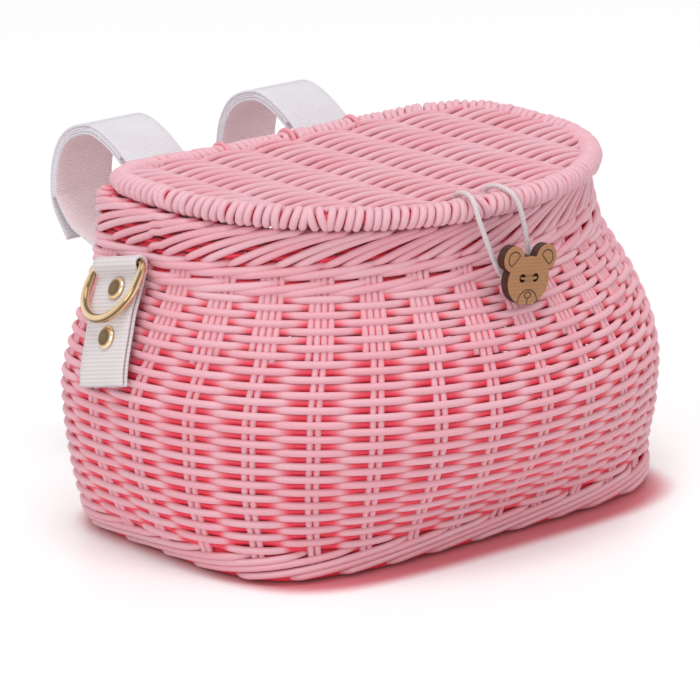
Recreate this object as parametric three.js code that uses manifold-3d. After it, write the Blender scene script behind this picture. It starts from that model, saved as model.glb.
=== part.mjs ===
// A child's woven bicycle basket: a bellied body on a flat foot, a lid bound to the back of the rim,
// two webbing loops for the handlebar, a tab with a D-ring on each side, and a button with an elastic.
// Millimetres, +Z up. The origin is the middle of the base, on the ground, and the front faces -Y.
import * as THREE from "three";
import { mergeVertices } from "three/addons/utils/BufferGeometryUtils.js";
import Module from "manifold-3d";

// Clearances
const GAP = 0.3;
const CUT_PLAY = 0.4;
const HINGE_PLAY = 0.4;

// Body: the level outlines of the outside, from the foot to the rim
const FOOT_HALF_WIDTH = 105.5;
const FOOT_FRONT = 67.5;
const FOOT_BACK = 66;
const FLARE_Z = 14;
const FLARE_HALF_WIDTH = 115;
const FLARE_FRONT = 73;
const FLANK_Z = 38;
const FLANK_HALF_WIDTH = 121;
const FLANK_FRONT = 91.5;
const BELLY_Z = 60;
const BELLY_HALF_WIDTH = 123;
const BELLY_FRONT = 99.3;
const SHOULDER_Z = 85;
const SHOULDER_HALF_WIDTH = 115;
const SHOULDER_FRONT = 89;
const COLLAR_Z = 106;
const COLLAR_HALF_WIDTH = 104.5;
const COLLAR_FRONT = 74;
const RIM_Z = 127.2;
const RIM_HALF_WIDTH = 100;
const RIM_FRONT = 68;
const BACK_Y = 62;
const BACK_FLATNESS = 1.03;

// Walls
const WALL = 7;
const STAKES = 28;
const FIRST_STAKE = 0.45;
const WEAVE_ROWS = 36;
const WEAVE_LOW_Z = 15.6;
const WEAVE_HIGH_Z = 105.6;
const WEAVE_DEPTH = 3.2;
const REST_HALF_WIDTH = 18;
const REST_LOW_Z = 48;
const REST_HIGH_Z = 73;
const FOOT_HEIGHT = 13;
const FOOT_BORDER_WIDTH = 12;
const FOOT_EDGE = 2;
const BASE_THICKNESS = 7;
const BORDER_HEIGHT = 10.2;
const BORDER_THICKNESS = 9;
const WALL_TOP = RIM_Z - BORDER_HEIGHT - GAP;

// Lid
const LID_Z = RIM_Z + GAP;
const LID_HALF_WIDTH = 98.5;
const LID_FRONT = 73.6;
const LID_BACK = 56;
const LID_WIDEST_Y = 6;
const LID_RIM_DIAMETER = 8.5;
const LID_PANEL_THICKNESS = 5.5;
const LID_RIB_SPACING = 24;
const LID_RIB_RISE = 1.7;
const LID_RIBS = 8;
const LID_ROWS = 38;
const LID_ROW_FRONT = -66.65;
const LID_ROW_BACK = 49.05;
const LID_TOP = LID_Z + LID_RIM_DIAMETER;
const LID_MIDDLE = LID_Z + LID_RIM_DIAMETER / 2;
const STRAND_DIAMETER = 2.6;
const HINGE_LOOP_SPACING = 33;

// Webbing loops for the handlebar
const WEBBING_WIDTH = 28;
const WEBBING_THICKNESS = 1.2;
const TAPE_THICKNESS = 0.5;
const STRAP_X = 42.2;
const UPPER_SLOT_Z = WALL_TOP - 5.2;
const SLOT_SPACING = 34.5;
const LOWER_SLOT_Z = UPPER_SLOT_Z - SLOT_SPACING;
// The outside of a loop, as steps out from the back wall and up from the upper slot
const STRAP_ROUTE = [
  [1, 0.7], [7, 6.2], [16, 14.6], [28, 22.4], [40, 26.6], [50, 25.2],
  [59, 20.3], [65, 11.4], [67.4, 0], [66, -11], [57.5, -22.8],
];
// Places along that route, as shares of it
const FLAP_START = 0.43;
const TAPE_START = 0.47;
const TAPE_END = 0.86;
const INNER_END = 0.24;
// The inner layer's way out from the lower slot, as steps out and up from it
const INNER_RUN = [44, 14];
const INNER_BEND = [55.5, 18.6];

// Side tabs, D-rings and rivets
const TAB_LOW_Y = 10;
const TAB_LOW_Z = 66.5;
const TAB_TOP_Y = 20;
const TAB_TOP_Z = 107.4;
const TAB_WIDTH = 26;
const TAB_LAYER = 1.4;
const TAB_LAYER_GAP = 0.6;
const TAB_NECK = 4.2;
const RING_WIRE = 3.2;
const RING_HALF_WIDTH = 14.9;
const RING_ARM = 7.5;
const RIVET_CAP_RADIUS = 4.5;
const RIVET_CAP_HEIGHT = 1.9;
const RIVET_STEM_RADIUS = 1.5;
const RIVET_BACK_THICKNESS = 1.4;
const UPPER_RIVET_DROP = 9.2;
const LOWER_RIVET_DROP = 28;
const RIVET_ACROSS = -1.2;

// Button, thread and elastic
const HEAD_Z = 105.5;
const HEAD_HALF_WIDTH = 10.3;
const HEAD_HALF_HEIGHT = 9.2;
const BUTTON_THICKNESS = 4;
const BUTTON_STAND = 1.5;
const EAR_RADIUS = 5;
const EAR_X = 8.2;
const EAR_RISE = 8.4;
const BUTTON_HOLE_RADIUS = 1.55;
const BUTTON_HOLE_X = 3.3;
const BUTTON_HOLE_RISE = 1.1;
const THREAD_DIAMETER = 1.2;
const ELASTIC_DIAMETER = 2;
const ELASTIC_HOLE_X = { left: -13.5, right: 1.2 };
const ELASTIC_HOLE_SETBACK = 13.6;
const KNOT_RADIUS = 2.1;
const KNOT_SQUASH = 0.8;

// Fineness
const RING_POINTS = 56;
const TUBE_SIDES = 8;
const CAP_SIDES = 12;

const WEAVE = new THREE.MeshStandardMaterial({ color: 0xe9a9b8, roughness: 0.5, metalness: 0 });
const WEBBING = new THREE.MeshStandardMaterial({ color: 0xeeecf2, roughness: 0.85, metalness: 0 });
const TAPE = new THREE.MeshStandardMaterial({ color: 0xe4e0ec, roughness: 0.95, metalness: 0 });
const GOLD = new THREE.MeshStandardMaterial({ color: 0xd2a869, roughness: 0.2, metalness: 1 });
const WOOD = new THREE.MeshStandardMaterial({ color: 0xa9713f, roughness: 0.6, metalness: 0 });
const CORD = new THREE.MeshStandardMaterial({ color: 0xcfc4cc, roughness: 0.8, metalness: 0 });

const wasm = await Module();
wasm.setup();

// Joining and cutting

// A geometry with its vertices merged by place and its faces turned outwards.
function closed(geometry) {
  const bare = geometry.clone();
  bare.deleteAttribute("normal");
  bare.deleteAttribute("uv");
  const merged = mergeVertices(bare, 1e-4);
  const places = merged.attributes.position;
  const index = merged.index.array;
  const corners = [new THREE.Vector3(), new THREE.Vector3(), new THREE.Vector3()];
  let volume = 0;
  for (let i = 0; i < index.length; i += 3) {
    corners.forEach((corner, k) => corner.fromBufferAttribute(places, index[i + k]));
    volume += corners[0].dot(corners[1].cross(corners[2]));
  }
  if (volume < 0) {
    for (let i = 0; i < index.length; i += 3) {
      [index[i + 1], index[i + 2]] = [index[i + 2], index[i + 1]];
    }
  }
  merged.computeVertexNormals();
  return merged;
}

function toSolid(geometry) {
  const merged = closed(geometry);
  return new wasm.Manifold(
    new wasm.Mesh({
      numProp: 3,
      vertProperties: new Float32Array(merged.attributes.position.array),
      triVerts: new Uint32Array(merged.index.array),
    }),
  );
}

function toGeometry(solid) {
  const mesh = solid.getMesh();
  const geometry = new THREE.BufferGeometry();
  geometry.setAttribute("position", new THREE.BufferAttribute(new Float32Array(mesh.vertProperties), 3));
  geometry.setIndex(new THREE.BufferAttribute(new Uint32Array(mesh.triVerts), 1));
  geometry.computeVertexNormals();
  return geometry;
}

function cut(geometry, cutters) {
  return toGeometry(cutters.reduce((rest, cutter) => rest.subtract(toSolid(cutter)), toSolid(geometry)));
}

function join(geometries) {
  return toGeometry(geometries.map(toSolid).reduce((sum, next) => sum.add(next)));
}

// Level outlines

const BODY = [
  { z: 0, half: FOOT_HALF_WIDTH, front: FOOT_FRONT, back: FOOT_BACK, widest: 2, bow: 4.5, heel: 5.5 },
  { z: FLARE_Z, half: FLARE_HALF_WIDTH, front: FLARE_FRONT, back: BACK_Y, widest: 4, bow: 3, heel: 4.8 },
  { z: FLANK_Z, half: FLANK_HALF_WIDTH, front: FLANK_FRONT, back: BACK_Y, widest: 11, bow: 2.25, heel: 4.2 },
  { z: BELLY_Z, half: BELLY_HALF_WIDTH, front: BELLY_FRONT, back: BACK_Y, widest: 12, bow: 2, heel: 4.2 },
  { z: SHOULDER_Z, half: SHOULDER_HALF_WIDTH, front: SHOULDER_FRONT, back: BACK_Y, widest: 7, bow: 1.88, heel: 4.6 },
  { z: COLLAR_Z, half: COLLAR_HALF_WIDTH, front: COLLAR_FRONT, back: BACK_Y, widest: 5.5, bow: 1.78, heel: 5 },
  { z: RIM_Z, half: RIM_HALF_WIDTH, front: RIM_FRONT, back: BACK_Y, widest: 7, bow: 1.8, heel: 5.5 },
];
const LID = { half: LID_HALF_WIDTH, front: LID_FRONT, back: LID_BACK, widest: LID_WIDEST_Y, bow: 2, heel: 5 };

// One size of the body at a height, on a curve that never overshoots its levels.
function bodySize(key, z) {
  const above = BODY.findIndex((level) => level.z >= z);
  const i = above < 0 ? BODY.length - 2 : Math.max(0, above - 1);
  const slope = (k) => (BODY[k + 1][key] - BODY[k][key]) / (BODY[k + 1].z - BODY[k].z);
  const tangent = (k) => {
    if (k === 0) return slope(0);
    if (k === BODY.length - 1) return slope(k - 1);
    const before = slope(k - 1);
    const after = slope(k);
    return before * after <= 0 ? 0 : (2 * before * after) / (before + after);
  };
  const span = BODY[i + 1].z - BODY[i].z;
  const t = Math.min(1, Math.max(0, (z - BODY[i].z) / span));
  const rise = t * t * (3 - 2 * t);
  const lead = t * (1 - t) * (1 - t) * span * tangent(i);
  const trail = t * t * (t - 1) * span * tangent(i + 1);
  return BODY[i][key] * (1 - rise) + BODY[i + 1][key] * rise + lead + trail;
}

function bodyLevel(z) {
  const keys = ["half", "front", "back", "widest", "bow", "heel"];
  return Object.fromEntries(keys.map((key) => [key, bodySize(key, z)]));
}

// A rounded level outline. One power rounds its front half, another its back half, which is cut flat.
function outlinePoint(level, inset, z, angle) {
  const c = Math.cos(angle);
  const s = Math.sin(angle);
  const power = 2 / (s < 0 ? level.bow : level.heel);
  const x = (level.half - inset) * Math.sign(c) * Math.abs(c) ** power;
  const front = level.front + level.widest - inset;
  const back = level.back - level.widest - inset;
  const y = s < 0 ? -front * Math.abs(s) ** power : back * Math.min(1, BACK_FLATNESS * s ** power);
  return new THREE.Vector3(x, level.widest + y, z);
}

const outline = (level, inset, z) =>
  Array.from({ length: RING_POINTS }, (_, i) => outlinePoint(level, inset, z, (2 * Math.PI * i) / RING_POINTS));

const bodyRing = (z, inset) => outline(bodyLevel(z), inset, z);

// Where the outside of the body lies at the side, and in front, at a height.
function sideX(y, z, inset) {
  const level = bodyLevel(z);
  const forward = y < level.widest;
  const power = forward ? level.bow : level.heel;
  const front = level.front + level.widest - inset;
  const back = (level.back - level.widest - inset) * BACK_FLATNESS;
  const share = Math.abs(y - level.widest) / (forward ? front : back);
  return (level.half - inset) * (1 - share ** power) ** (1 / power);
}
const frontY = (z) => -bodySize("front", z);

// A closed surface through rings of points: round a hollow from last to first, or capped at both ends.
function loft(rings, capped) {
  const count = rings[0].length;
  const points = rings.flat();
  const index = [];
  const bands = capped ? rings.length - 1 : rings.length;
  for (let r = 0; r < bands; r++) {
    const low = r * count;
    const high = ((r + 1) % rings.length) * count;
    for (let i = 0; i < count; i++) {
      const j = (i + 1) % count;
      index.push(low + i, low + j, high + j, low + i, high + j, high + i);
    }
  }
  if (capped) {
    for (const start of [0, (rings.length - 1) * count]) {
      const middle = new THREE.Vector3();
      for (let i = 0; i < count; i++) middle.addScaledVector(points[start + i], 1 / count);
      points.push(middle);
      for (let i = 0; i < count; i++) {
        const j = (i + 1) % count;
        const edge = start === 0 ? [j, i] : [i, j];
        index.push(points.length - 1, start + edge[0], start + edge[1]);
      }
    }
  }
  const geometry = new THREE.BufferGeometry().setFromPoints(points);
  geometry.setIndex(index);
  return closed(geometry);
}

// Values spread evenly from one to another.
const spread = (from, to, steps) =>
  Array.from({ length: steps + 1 }, (_, i) => (from * (steps - i) + to * i) / steps);

// Shares of the way along half an outline, from one angle to another, to look angles up by.
function arcTable(z, from, to) {
  const angles = spread(from, to, 600);
  const level = bodyLevel(z);
  const places = angles.map((angle) => outlinePoint(level, 0, z, angle));
  const lengths = [0];
  for (let i = 1; i < places.length; i++) lengths.push(lengths[i - 1] + places[i].distanceTo(places[i - 1]));
  return { angles, lengths, whole: lengths.at(-1) };
}

// Angles of the half stakes at a height. The belly sets how many stand in the back half and in the front.
const bellyBack = arcTable(BELLY_Z, 0, Math.PI).whole;
const backShare = bellyBack / (bellyBack + arcTable(BELLY_Z, Math.PI, 2 * Math.PI).whole);
function stakeAngles(z) {
  const back = arcTable(z, 0, Math.PI);
  const front = arcTable(z, Math.PI, 2 * Math.PI);
  return Array.from({ length: 2 * STAKES }, (_, k) => {
    const share = ((k / 2 + FIRST_STAKE) / STAKES) % 1;
    const behind = share < backShare;
    const table = behind ? back : front;
    const part = behind ? share / backShare : (share - backShare) / (1 - backShare);
    return table.angles[table.lengths.findIndex((length) => length >= part * table.whole)];
  });
}

// The inside of the wall, level by level
const wallLevels = spread(FOOT_HEIGHT + GAP, WALL_TOP, 9);
const insideRings = wallLevels.map((z) =>
  stakeAngles(z).map((angle) => outlinePoint(bodyLevel(z), WALL, z, angle)),
);

// A rolled border of oval section that follows a level outline.
function rolledRing(levelAt, middleZ, halfHeight, halfWidth) {
  const rings = Array.from({ length: TUBE_SIDES }, (_, i) => {
    const angle = (2 * Math.PI * i) / TUBE_SIDES;
    const z = middleZ + halfHeight * Math.sin(angle);
    return outline(levelAt(z), halfWidth * (1 - Math.cos(angle)), z);
  });
  return loft(rings, false);
}

function openTube(points, radius, steps) {
  const angles = spread(0, 2 * Math.PI, TUBE_SIDES).slice(1);
  const section = new THREE.Shape(angles.map((a) => new THREE.Vector2(radius * Math.cos(a), radius * Math.sin(a))));
  const extrudePath = new THREE.CatmullRomCurve3(points.map((p) => new THREE.Vector3(...p)), false, "centripetal");
  return closed(new THREE.ExtrudeGeometry(section, { steps, extrudePath }));
}

function closedTube(points, radius, steps) {
  const path = new THREE.CatmullRomCurve3(points.map((p) => new THREE.Vector3(...p)), true, "centripetal");
  return closed(new THREE.TubeGeometry(path, steps, radius, TUBE_SIDES, true));
}

// A turned piece about +X, from a profile of places along X and radii.
function turned(profile, sides) {
  const points = profile.map(([x, radius]) => new THREE.Vector2(radius, x));
  return closed(new THREE.LatheGeometry(points, sides).rotateZ(-Math.PI / 2));
}

// A flat strip that follows a line of points, as a shape.
function strip(points, thickness) {
  const half = thickness / 2;
  const normals = points.map((point, i) => {
    const before = point.clone().sub(points[Math.max(i - 1, 0)]).normalize();
    const after = points[Math.min(i + 1, points.length - 1)].clone().sub(point).normalize();
    const along = before.clone().add(after).normalize();
    const lean = Math.max(along.dot(i === 0 ? after : before), 0.5);
    return new THREE.Vector2(-along.y, along.x).multiplyScalar(half / lean);
  });
  const left = points.map((point, i) => point.clone().add(normals[i]));
  const right = points.map((point, i) => point.clone().sub(normals[i]));
  return new THREE.Shape([...left, ...right.reverse()]);
}

const root = new THREE.Group();

function add(parent, name, geometry, material) {
  const mesh = new THREE.Mesh(geometry, material);
  mesh.name = name;
  parent.add(mesh);
}

// Webbing loops: layers of one route in the YZ plane, drawn out along X

const route = new THREE.SplineCurve(
  STRAP_ROUTE.map(([out, up]) => new THREE.Vector2(BACK_Y + out, UPPER_SLOT_Z + up)),
);
const HOOK_DEPTH = WEBBING_THICKNESS + GAP;
const PILE_DEPTH = HOOK_DEPTH + TAPE_THICKNESS + GAP;
const INNER_DEPTH = PILE_DEPTH + TAPE_THICKNESS + GAP;
const FLAP_SPLIT = GAP / 2 / route.getLength();

// Points of the route from one share of it to another, moved towards the inside of the loop.
function routePoints(from, to, inward, steps) {
  return spread(from, to, steps).map((t) => {
    const point = route.getPoint(t);
    const along = route.getTangent(t);
    return new THREE.Vector2(point.x + along.y * inward, point.y - along.x * inward);
  });
}

const layer = (from, to, depth, thickness, steps) =>
  strip(routePoints(from, to, depth + thickness / 2, steps), thickness);

// The fixed webbing: from the flap over the top, in at the upper slot, out at the lower, and back up inside.
function strapShape() {
  const half = WEBBING_THICKNESS / 2;
  const over = routePoints(FLAP_START - FLAP_SPLIT, 0, half, 14);
  const insideY = BACK_Y - WALL - GAP - half;
  const low = ([out, up]) => new THREE.Vector2(BACK_Y + out, LOWER_SLOT_Z + up);
  const slots = [
    new THREE.Vector2(BACK_Y - half, UPPER_SLOT_Z),
    new THREE.Vector2(insideY, UPPER_SLOT_Z),
    new THREE.Vector2(insideY, LOWER_SLOT_Z),
    low([half, 0]),
  ];
  const under = routePoints(TAPE_END, INNER_END, INNER_DEPTH + half, 20);
  const bend = new THREE.SplineCurve([slots[3], low(INNER_RUN), low(INNER_BEND), under[0], under[3]]);
  const bent = spread(0.25, 0.75, 8).map((t) => bend.getPoint(t));
  return strip([...over, ...slots, ...bent, ...under.slice(1)], WEBBING_THICKNESS);
}

function webbing(shape) {
  const geometry = new THREE.ExtrudeGeometry(shape, { depth: WEBBING_WIDTH, bevelEnabled: false });
  const alongX = new THREE.Matrix4().makeBasis(
    new THREE.Vector3(0, 1, 0),
    new THREE.Vector3(0, 0, 1),
    new THREE.Vector3(1, 0, 0),
  );
  return closed(geometry.translate(0, 0, -WEBBING_WIDTH / 2).applyMatrix4(alongX));
}

function addStrap(side, x) {
  const place = new THREE.Group();
  place.position.x = x;
  root.add(place);
  const flap = layer(FLAP_START + FLAP_SPLIT, 1, 0, WEBBING_THICKNESS, 20);
  const hook = layer(TAPE_START, TAPE_END, HOOK_DEPTH, TAPE_THICKNESS, 14);
  const pile = layer(TAPE_START, TAPE_END, PILE_DEPTH, TAPE_THICKNESS, 14);
  add(place, `strap_${side}`, webbing(strapShape()), WEBBING);
  add(place, `strap_flap_${side}`, webbing(flap), WEBBING);
  add(place, `hook_tape_${side}`, webbing(hook), TAPE);
  add(place, `loop_tape_${side}`, webbing(pile), TAPE);
}

addStrap("left", -STRAP_X);
addStrap("right", STRAP_X);

function strapSlots() {
  const size = [WEBBING_WIDTH + 2 * CUT_PLAY, 4 * WALL, WEBBING_THICKNESS + 2 * CUT_PLAY];
  return [-STRAP_X, STRAP_X].flatMap((x) =>
    [UPPER_SLOT_Z, LOWER_SLOT_Z].map((z) => new THREE.BoxGeometry(...size).translate(x, BACK_Y - WALL / 2, z)),
  );
}

// Side tabs: built for the side at +X, in a frame whose X leads out of the wall and Z up the tab

const tabFoot = new THREE.Vector3(sideX(TAB_LOW_Y, TAB_LOW_Z, 0), TAB_LOW_Y, TAB_LOW_Z);
const tabHead = new THREE.Vector3(sideX(TAB_TOP_Y, TAB_TOP_Z, 0), TAB_TOP_Y, TAB_TOP_Z);
const tabLength = tabHead.distanceTo(tabFoot);
const tabUp = tabHead.clone().sub(tabFoot).normalize();
const tabOut = new THREE.Vector3(1, 0, 0).addScaledVector(tabUp, -tabUp.x).normalize();
const tabAcross = new THREE.Vector3().crossVectors(tabUp, tabOut);
const tabMatrix = new THREE.Matrix4().makeBasis(tabOut, tabAcross, tabUp).setPosition(tabFoot);

// Where the two faces of the wall lie at the side. The inside is straight between its points.
const outsideX = (y, z) => sideX(y, z, 0);
function ringX(ring, y) {
  const right = ring.filter((p) => p.x > 0).sort((a, b) => a.y - b.y);
  const next = right.findIndex((p) => p.y > y);
  const [a, b] = [right[next - 1], right[next]];
  return a.x + ((b.x - a.x) * (y - a.y)) / (b.y - a.y);
}
function insideX(y, z) {
  const found = wallLevels.findIndex((level) => level >= z);
  const above = found < 0 ? wallLevels.length - 1 : Math.max(1, found);
  const share = (z - wallLevels[above - 1]) / (wallLevels[above] - wallLevels[above - 1]);
  return ringX(insideRings[above - 1], y) * (1 - share) + ringX(insideRings[above], y) * share;
}

// How far out of the tab's plane a face of the wall lies, at a height up the tab and a step across it.
function wallOut(up, across, faceX) {
  let out = 0;
  for (let i = 0; i < 12; i++) {
    const p = new THREE.Vector3(out, across, up).applyMatrix4(tabMatrix);
    out += (faceX(p.y, p.z) - p.x) * tabOut.x;
  }
  return out;
}

const acrossTab = spread(-TAB_WIDTH / 2, TAB_WIDTH / 2, 4);
const tabBack = (up) => Math.max(...acrossTab.map((across) => wallOut(up, across, outsideX))) + GAP;
const tabFace = (up) => tabBack(up) + 2 * TAB_LAYER + TAB_LAYER_GAP;
const EYE_RADIUS = RING_WIRE / 2 + CUT_PLAY + TAB_LAYER / 2;
const eyeOut = tabBack(tabLength) + TAB_LAYER / 2 + EYE_RADIUS;

// A strip folded round the ring's bar, with its two layers flat on the wall below.
function tabGeometry(holes) {
  const half = TAB_LAYER / 2;
  const lead = Math.atan2(eyeOut + EYE_RADIUS - tabFace(tabLength - TAB_NECK) + half, TAB_NECK);
  const front = spread(0, tabLength - TAB_NECK, 8).map((up) => new THREE.Vector2(tabFace(up) - half, up));
  const eye = spread(-lead, Math.PI, 12).map(
    (a) => new THREE.Vector2(eyeOut + EYE_RADIUS * Math.cos(a), tabLength + EYE_RADIUS * Math.sin(a)),
  );
  const back = spread(tabLength - 2, 0, 10).map((up) => new THREE.Vector2(tabBack(up) + half, up));
  const shape = strip([...front, ...eye, ...back], TAB_LAYER);
  const geometry = new THREE.ExtrudeGeometry(shape, { depth: TAB_WIDTH, bevelEnabled: false });
  geometry.rotateX(Math.PI / 2).translate(0, TAB_WIDTH / 2, 0);
  return cut(geometry, holes);
}

// A rivet's frame in the tab's, square to the webbing, and its depth to where its washer clears the wall.
function rivetPlace(up) {
  const lean = Math.atan((tabFace(up + 1) - tabFace(up - 1)) / 2);
  const matrix = new THREE.Matrix4().makeRotationY(lean).setPosition(tabFace(up), RIVET_ACROSS, up);
  const depthAt = (rise, step) => {
    let depth = WALL;
    for (let i = 0; i < 12; i++) {
      const p = new THREE.Vector3(-depth, step, rise).applyMatrix4(matrix);
      depth += (p.x - wallOut(p.z, p.y, insideX)) * Math.cos(lean);
    }
    return depth;
  };
  const depths = spread(0, RIVET_CAP_RADIUS, 3).flatMap((radius) =>
    spread(0, 2 * Math.PI, CAP_SIDES).map((a) => depthAt(radius * Math.cos(a), radius * Math.sin(a))),
  );
  return { up, matrix, depth: Math.max(...depths) };
}

const rivets = {
  upper: rivetPlace(tabLength - UPPER_RIVET_DROP),
  lower: rivetPlace(tabLength - LOWER_RIVET_DROP),
};

function rivetGeometry({ matrix, depth }) {
  const end = -depth - 2 * GAP - RIVET_BACK_THICKNESS;
  const cap = spread(0, Math.PI / 2, 4).map((a, i) => [
    GAP + 0.4 + (RIVET_CAP_HEIGHT - 0.4) * Math.sin(a),
    i === 4 ? 0 : RIVET_CAP_RADIUS * Math.cos(a),
  ]);
  const profile = [[end, 0], [end, RIVET_STEM_RADIUS], [GAP, RIVET_STEM_RADIUS], [GAP, RIVET_CAP_RADIUS], ...cap];
  return turned(profile, CAP_SIDES).applyMatrix4(matrix);
}

function rivetBackGeometry({ matrix, depth }) {
  const front = -depth - 2 * GAP;
  const end = front - RIVET_BACK_THICKNESS;
  const bore = RIVET_STEM_RADIUS + GAP;
  const profile = [
    [front, bore], [end, bore], [end, RIVET_CAP_RADIUS - 0.6], [end + 0.6, RIVET_CAP_RADIUS],
    [front, RIVET_CAP_RADIUS], [front, bore],
  ];
  return turned(profile, CAP_SIDES).applyMatrix4(matrix);
}

function rivetHole({ matrix, depth }) {
  const radius = RIVET_STEM_RADIUS + CUT_PLAY;
  const rod = new THREE.CylinderGeometry(radius, radius, 2 * depth + 10, CAP_SIDES);
  return rod.rotateZ(Math.PI / 2).applyMatrix4(matrix);
}

const rivetHoles = Object.values(rivets).map(rivetHole);
const ringDrop = RING_ARM + RING_HALF_WIDTH;
const ringRest = tabFace(rivets.lower.up) + 2 * GAP + RIVET_CAP_HEIGHT + RING_WIRE / 2;
const ringTilt = Math.asin((ringRest - eyeOut) / ringDrop);

// A D of round wire that hangs from its straight bar, tilted out to lie on the lower rivet.
function ringGeometry() {
  const bar = TAB_WIDTH / 2 + GAP;
  const corner = [[RING_HALF_WIDTH - 0.8, -0.8], [RING_HALF_WIDTH, -3.2]];
  const bow = spread(0, Math.PI, 10).map((a) => [
    RING_HALF_WIDTH * Math.cos(a),
    -RING_ARM - RING_HALF_WIDTH * Math.sin(a),
  ]);
  const mirrored = corner.map(([across, up]) => [-across, up]).reverse();
  const line = [[-bar, 0], [-bar / 2, 0], [0, 0], [bar / 2, 0], [bar, 0], ...corner, ...bow, ...mirrored];
  const geometry = closedTube(line.map(([across, up]) => [0, across, up]), RING_WIRE / 2, 44);
  return geometry.rotateY(-ringTilt).translate(eyeOut, 0, tabLength);
}

function addTab(side, mirror) {
  const half = new THREE.Group();
  half.scale.x = mirror;
  const place = new THREE.Group();
  tabMatrix.decompose(place.position, place.quaternion, place.scale);
  half.add(place);
  root.add(half);
  add(place, `tab_${side}`, tabGeometry(rivetHoles), WEBBING);
  add(place, `d_ring_${side}`, ringGeometry(), GOLD);
  for (const [level, rivet] of Object.entries(rivets)) {
    add(place, `rivet_${side}_${level}`, rivetGeometry(rivet), GOLD);
    add(place, `rivet_back_${side}_${level}`, rivetBackGeometry(rivet), GOLD);
  }
}

addTab("left", -1);
addTab("right", 1);

function wallRivetHoles() {
  const mirror = new THREE.Matrix4().makeScale(-1, 1, 1);
  const right = rivetHoles.map((hole) => hole.clone().applyMatrix4(tabMatrix));
  return [...right, ...right.map((hole) => hole.clone().applyMatrix4(mirror))];
}

// Hinge loops: strands tied round the back of the lid's rim and the border below it

const hingeY = LID_BACK - LID_RIM_DIAMETER / 2;
const borderY = BACK_Y - BORDER_THICKNESS / 2;
const borderZ = RIM_Z - BORDER_HEIGHT / 2;
const BORDER_LOOP_RADIUS = BORDER_HEIGHT / 2 + HINGE_PLAY + STRAND_DIAMETER / 2;
const LID_LOOP_RADIUS = LID_RIM_DIAMETER / 2 + HINGE_PLAY + STRAND_DIAMETER / 2;
const hingeLoopXs = [-HINGE_LOOP_SPACING, 0, HINGE_LOOP_SPACING];

function hingeLoop(x, radius) {
  const down = Math.atan2(borderZ - LID_MIDDLE, borderY - hingeY);
  const bend = (y, z, from, around) =>
    spread(from, from + Math.PI, 6).map((a) => [x, y + around * Math.cos(a), z + around * Math.sin(a)]);
  const low = bend(borderY, borderZ, down - Math.PI / 2, BORDER_LOOP_RADIUS);
  const high = bend(hingeY, LID_MIDDLE, down + Math.PI / 2, LID_LOOP_RADIUS);
  const halfway = (a, b) => a.map((value, k) => (value + b[k]) / 2);
  return closedTube([...low, halfway(low.at(-1), high[0]), ...high, halfway(high.at(-1), low[0])], radius, 30);
}

hingeLoopXs.forEach((x, i) => add(root, `hinge_loop_${i + 1}`, hingeLoop(x, STRAND_DIAMETER / 2), WEAVE));

// Body

const footRings = [
  bodyRing(0, FOOT_EDGE),
  bodyRing(FOOT_EDGE, 0),
  bodyRing(FOOT_HEIGHT / 2, 0),
  bodyRing(FOOT_HEIGHT, 0),
  outline(bodyLevel(0), FOOT_BORDER_WIDTH, FOOT_HEIGHT),
  bodyRing(0, FOOT_BORDER_WIDTH),
];
add(root, "foot_border", loft(footRings, false), WEAVE);

const baseInset = FOOT_BORDER_WIDTH + GAP;
const baseRings = [bodyRing(0, baseInset), outline(bodyLevel(0), baseInset, BASE_THICKNESS)];
add(root, "basket_base", loft(baseRings, true), WEAVE);

// One level of the wall's outside: the strand goes in behind every other stake.
// The middle of the back is left flat, where the basket leans on the bicycle.
function wovenRing(z, row) {
  const level = bodyLevel(z);
  return stakeAngles(z).map((angle, k) => {
    const plain = outlinePoint(level, 0, z, angle);
    const behind = plain.y > 0 && Math.abs(plain.x) < REST_HALF_WIDTH;
    if (row === null || (behind && z > REST_LOW_Z && z < REST_HIGH_Z)) return plain;
    const inset = (WEAVE_DEPTH / 2) * (1 - Math.cos(Math.PI * (k / 2 + row)));
    return outlinePoint(level, inset, z, angle);
  });
}

const wallRows = spread(WEAVE_LOW_Z, WEAVE_HIGH_Z, WEAVE_ROWS - 1);
const wallRings = [
  wovenRing(FOOT_HEIGHT + GAP, null),
  ...wallRows.map((z, row) => wovenRing(z, row)),
  wovenRing(WEAVE_HIGH_Z + 2.4, null),
  wovenRing(WALL_TOP, null),
  ...[...insideRings].reverse(),
];
const wallCuts = [
  ...strapSlots(),
  ...wallRivetHoles(),
  ...hingeLoopXs.map((x) => hingeLoop(x, STRAND_DIAMETER / 2 + CUT_PLAY)),
];
add(root, "basket_wall", cut(loft(wallRings, false), wallCuts), WEAVE);
add(root, "rim_border", rolledRing(bodyLevel, borderZ, BORDER_HEIGHT / 2, BORDER_THICKNESS / 2), WEAVE);

// Lid

const lidRadius = LID_RIM_DIAMETER / 2;
const panelBottom = LID_MIDDLE - LID_PANEL_THICKNESS / 2;
const panelTop = LID_MIDDLE + LID_PANEL_THICKNESS / 2;
const elasticHoleY = -LID_FRONT + ELASTIC_HOLE_SETBACK;
const knotZ = panelBottom + GAP / 2 + KNOT_RADIUS * KNOT_SQUASH;
const knotTop = knotZ + KNOT_RADIUS * KNOT_SQUASH;

add(root, "lid_rim", rolledRing(() => LID, LID_MIDDLE, lidRadius, lidRadius), WEAVE);

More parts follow.
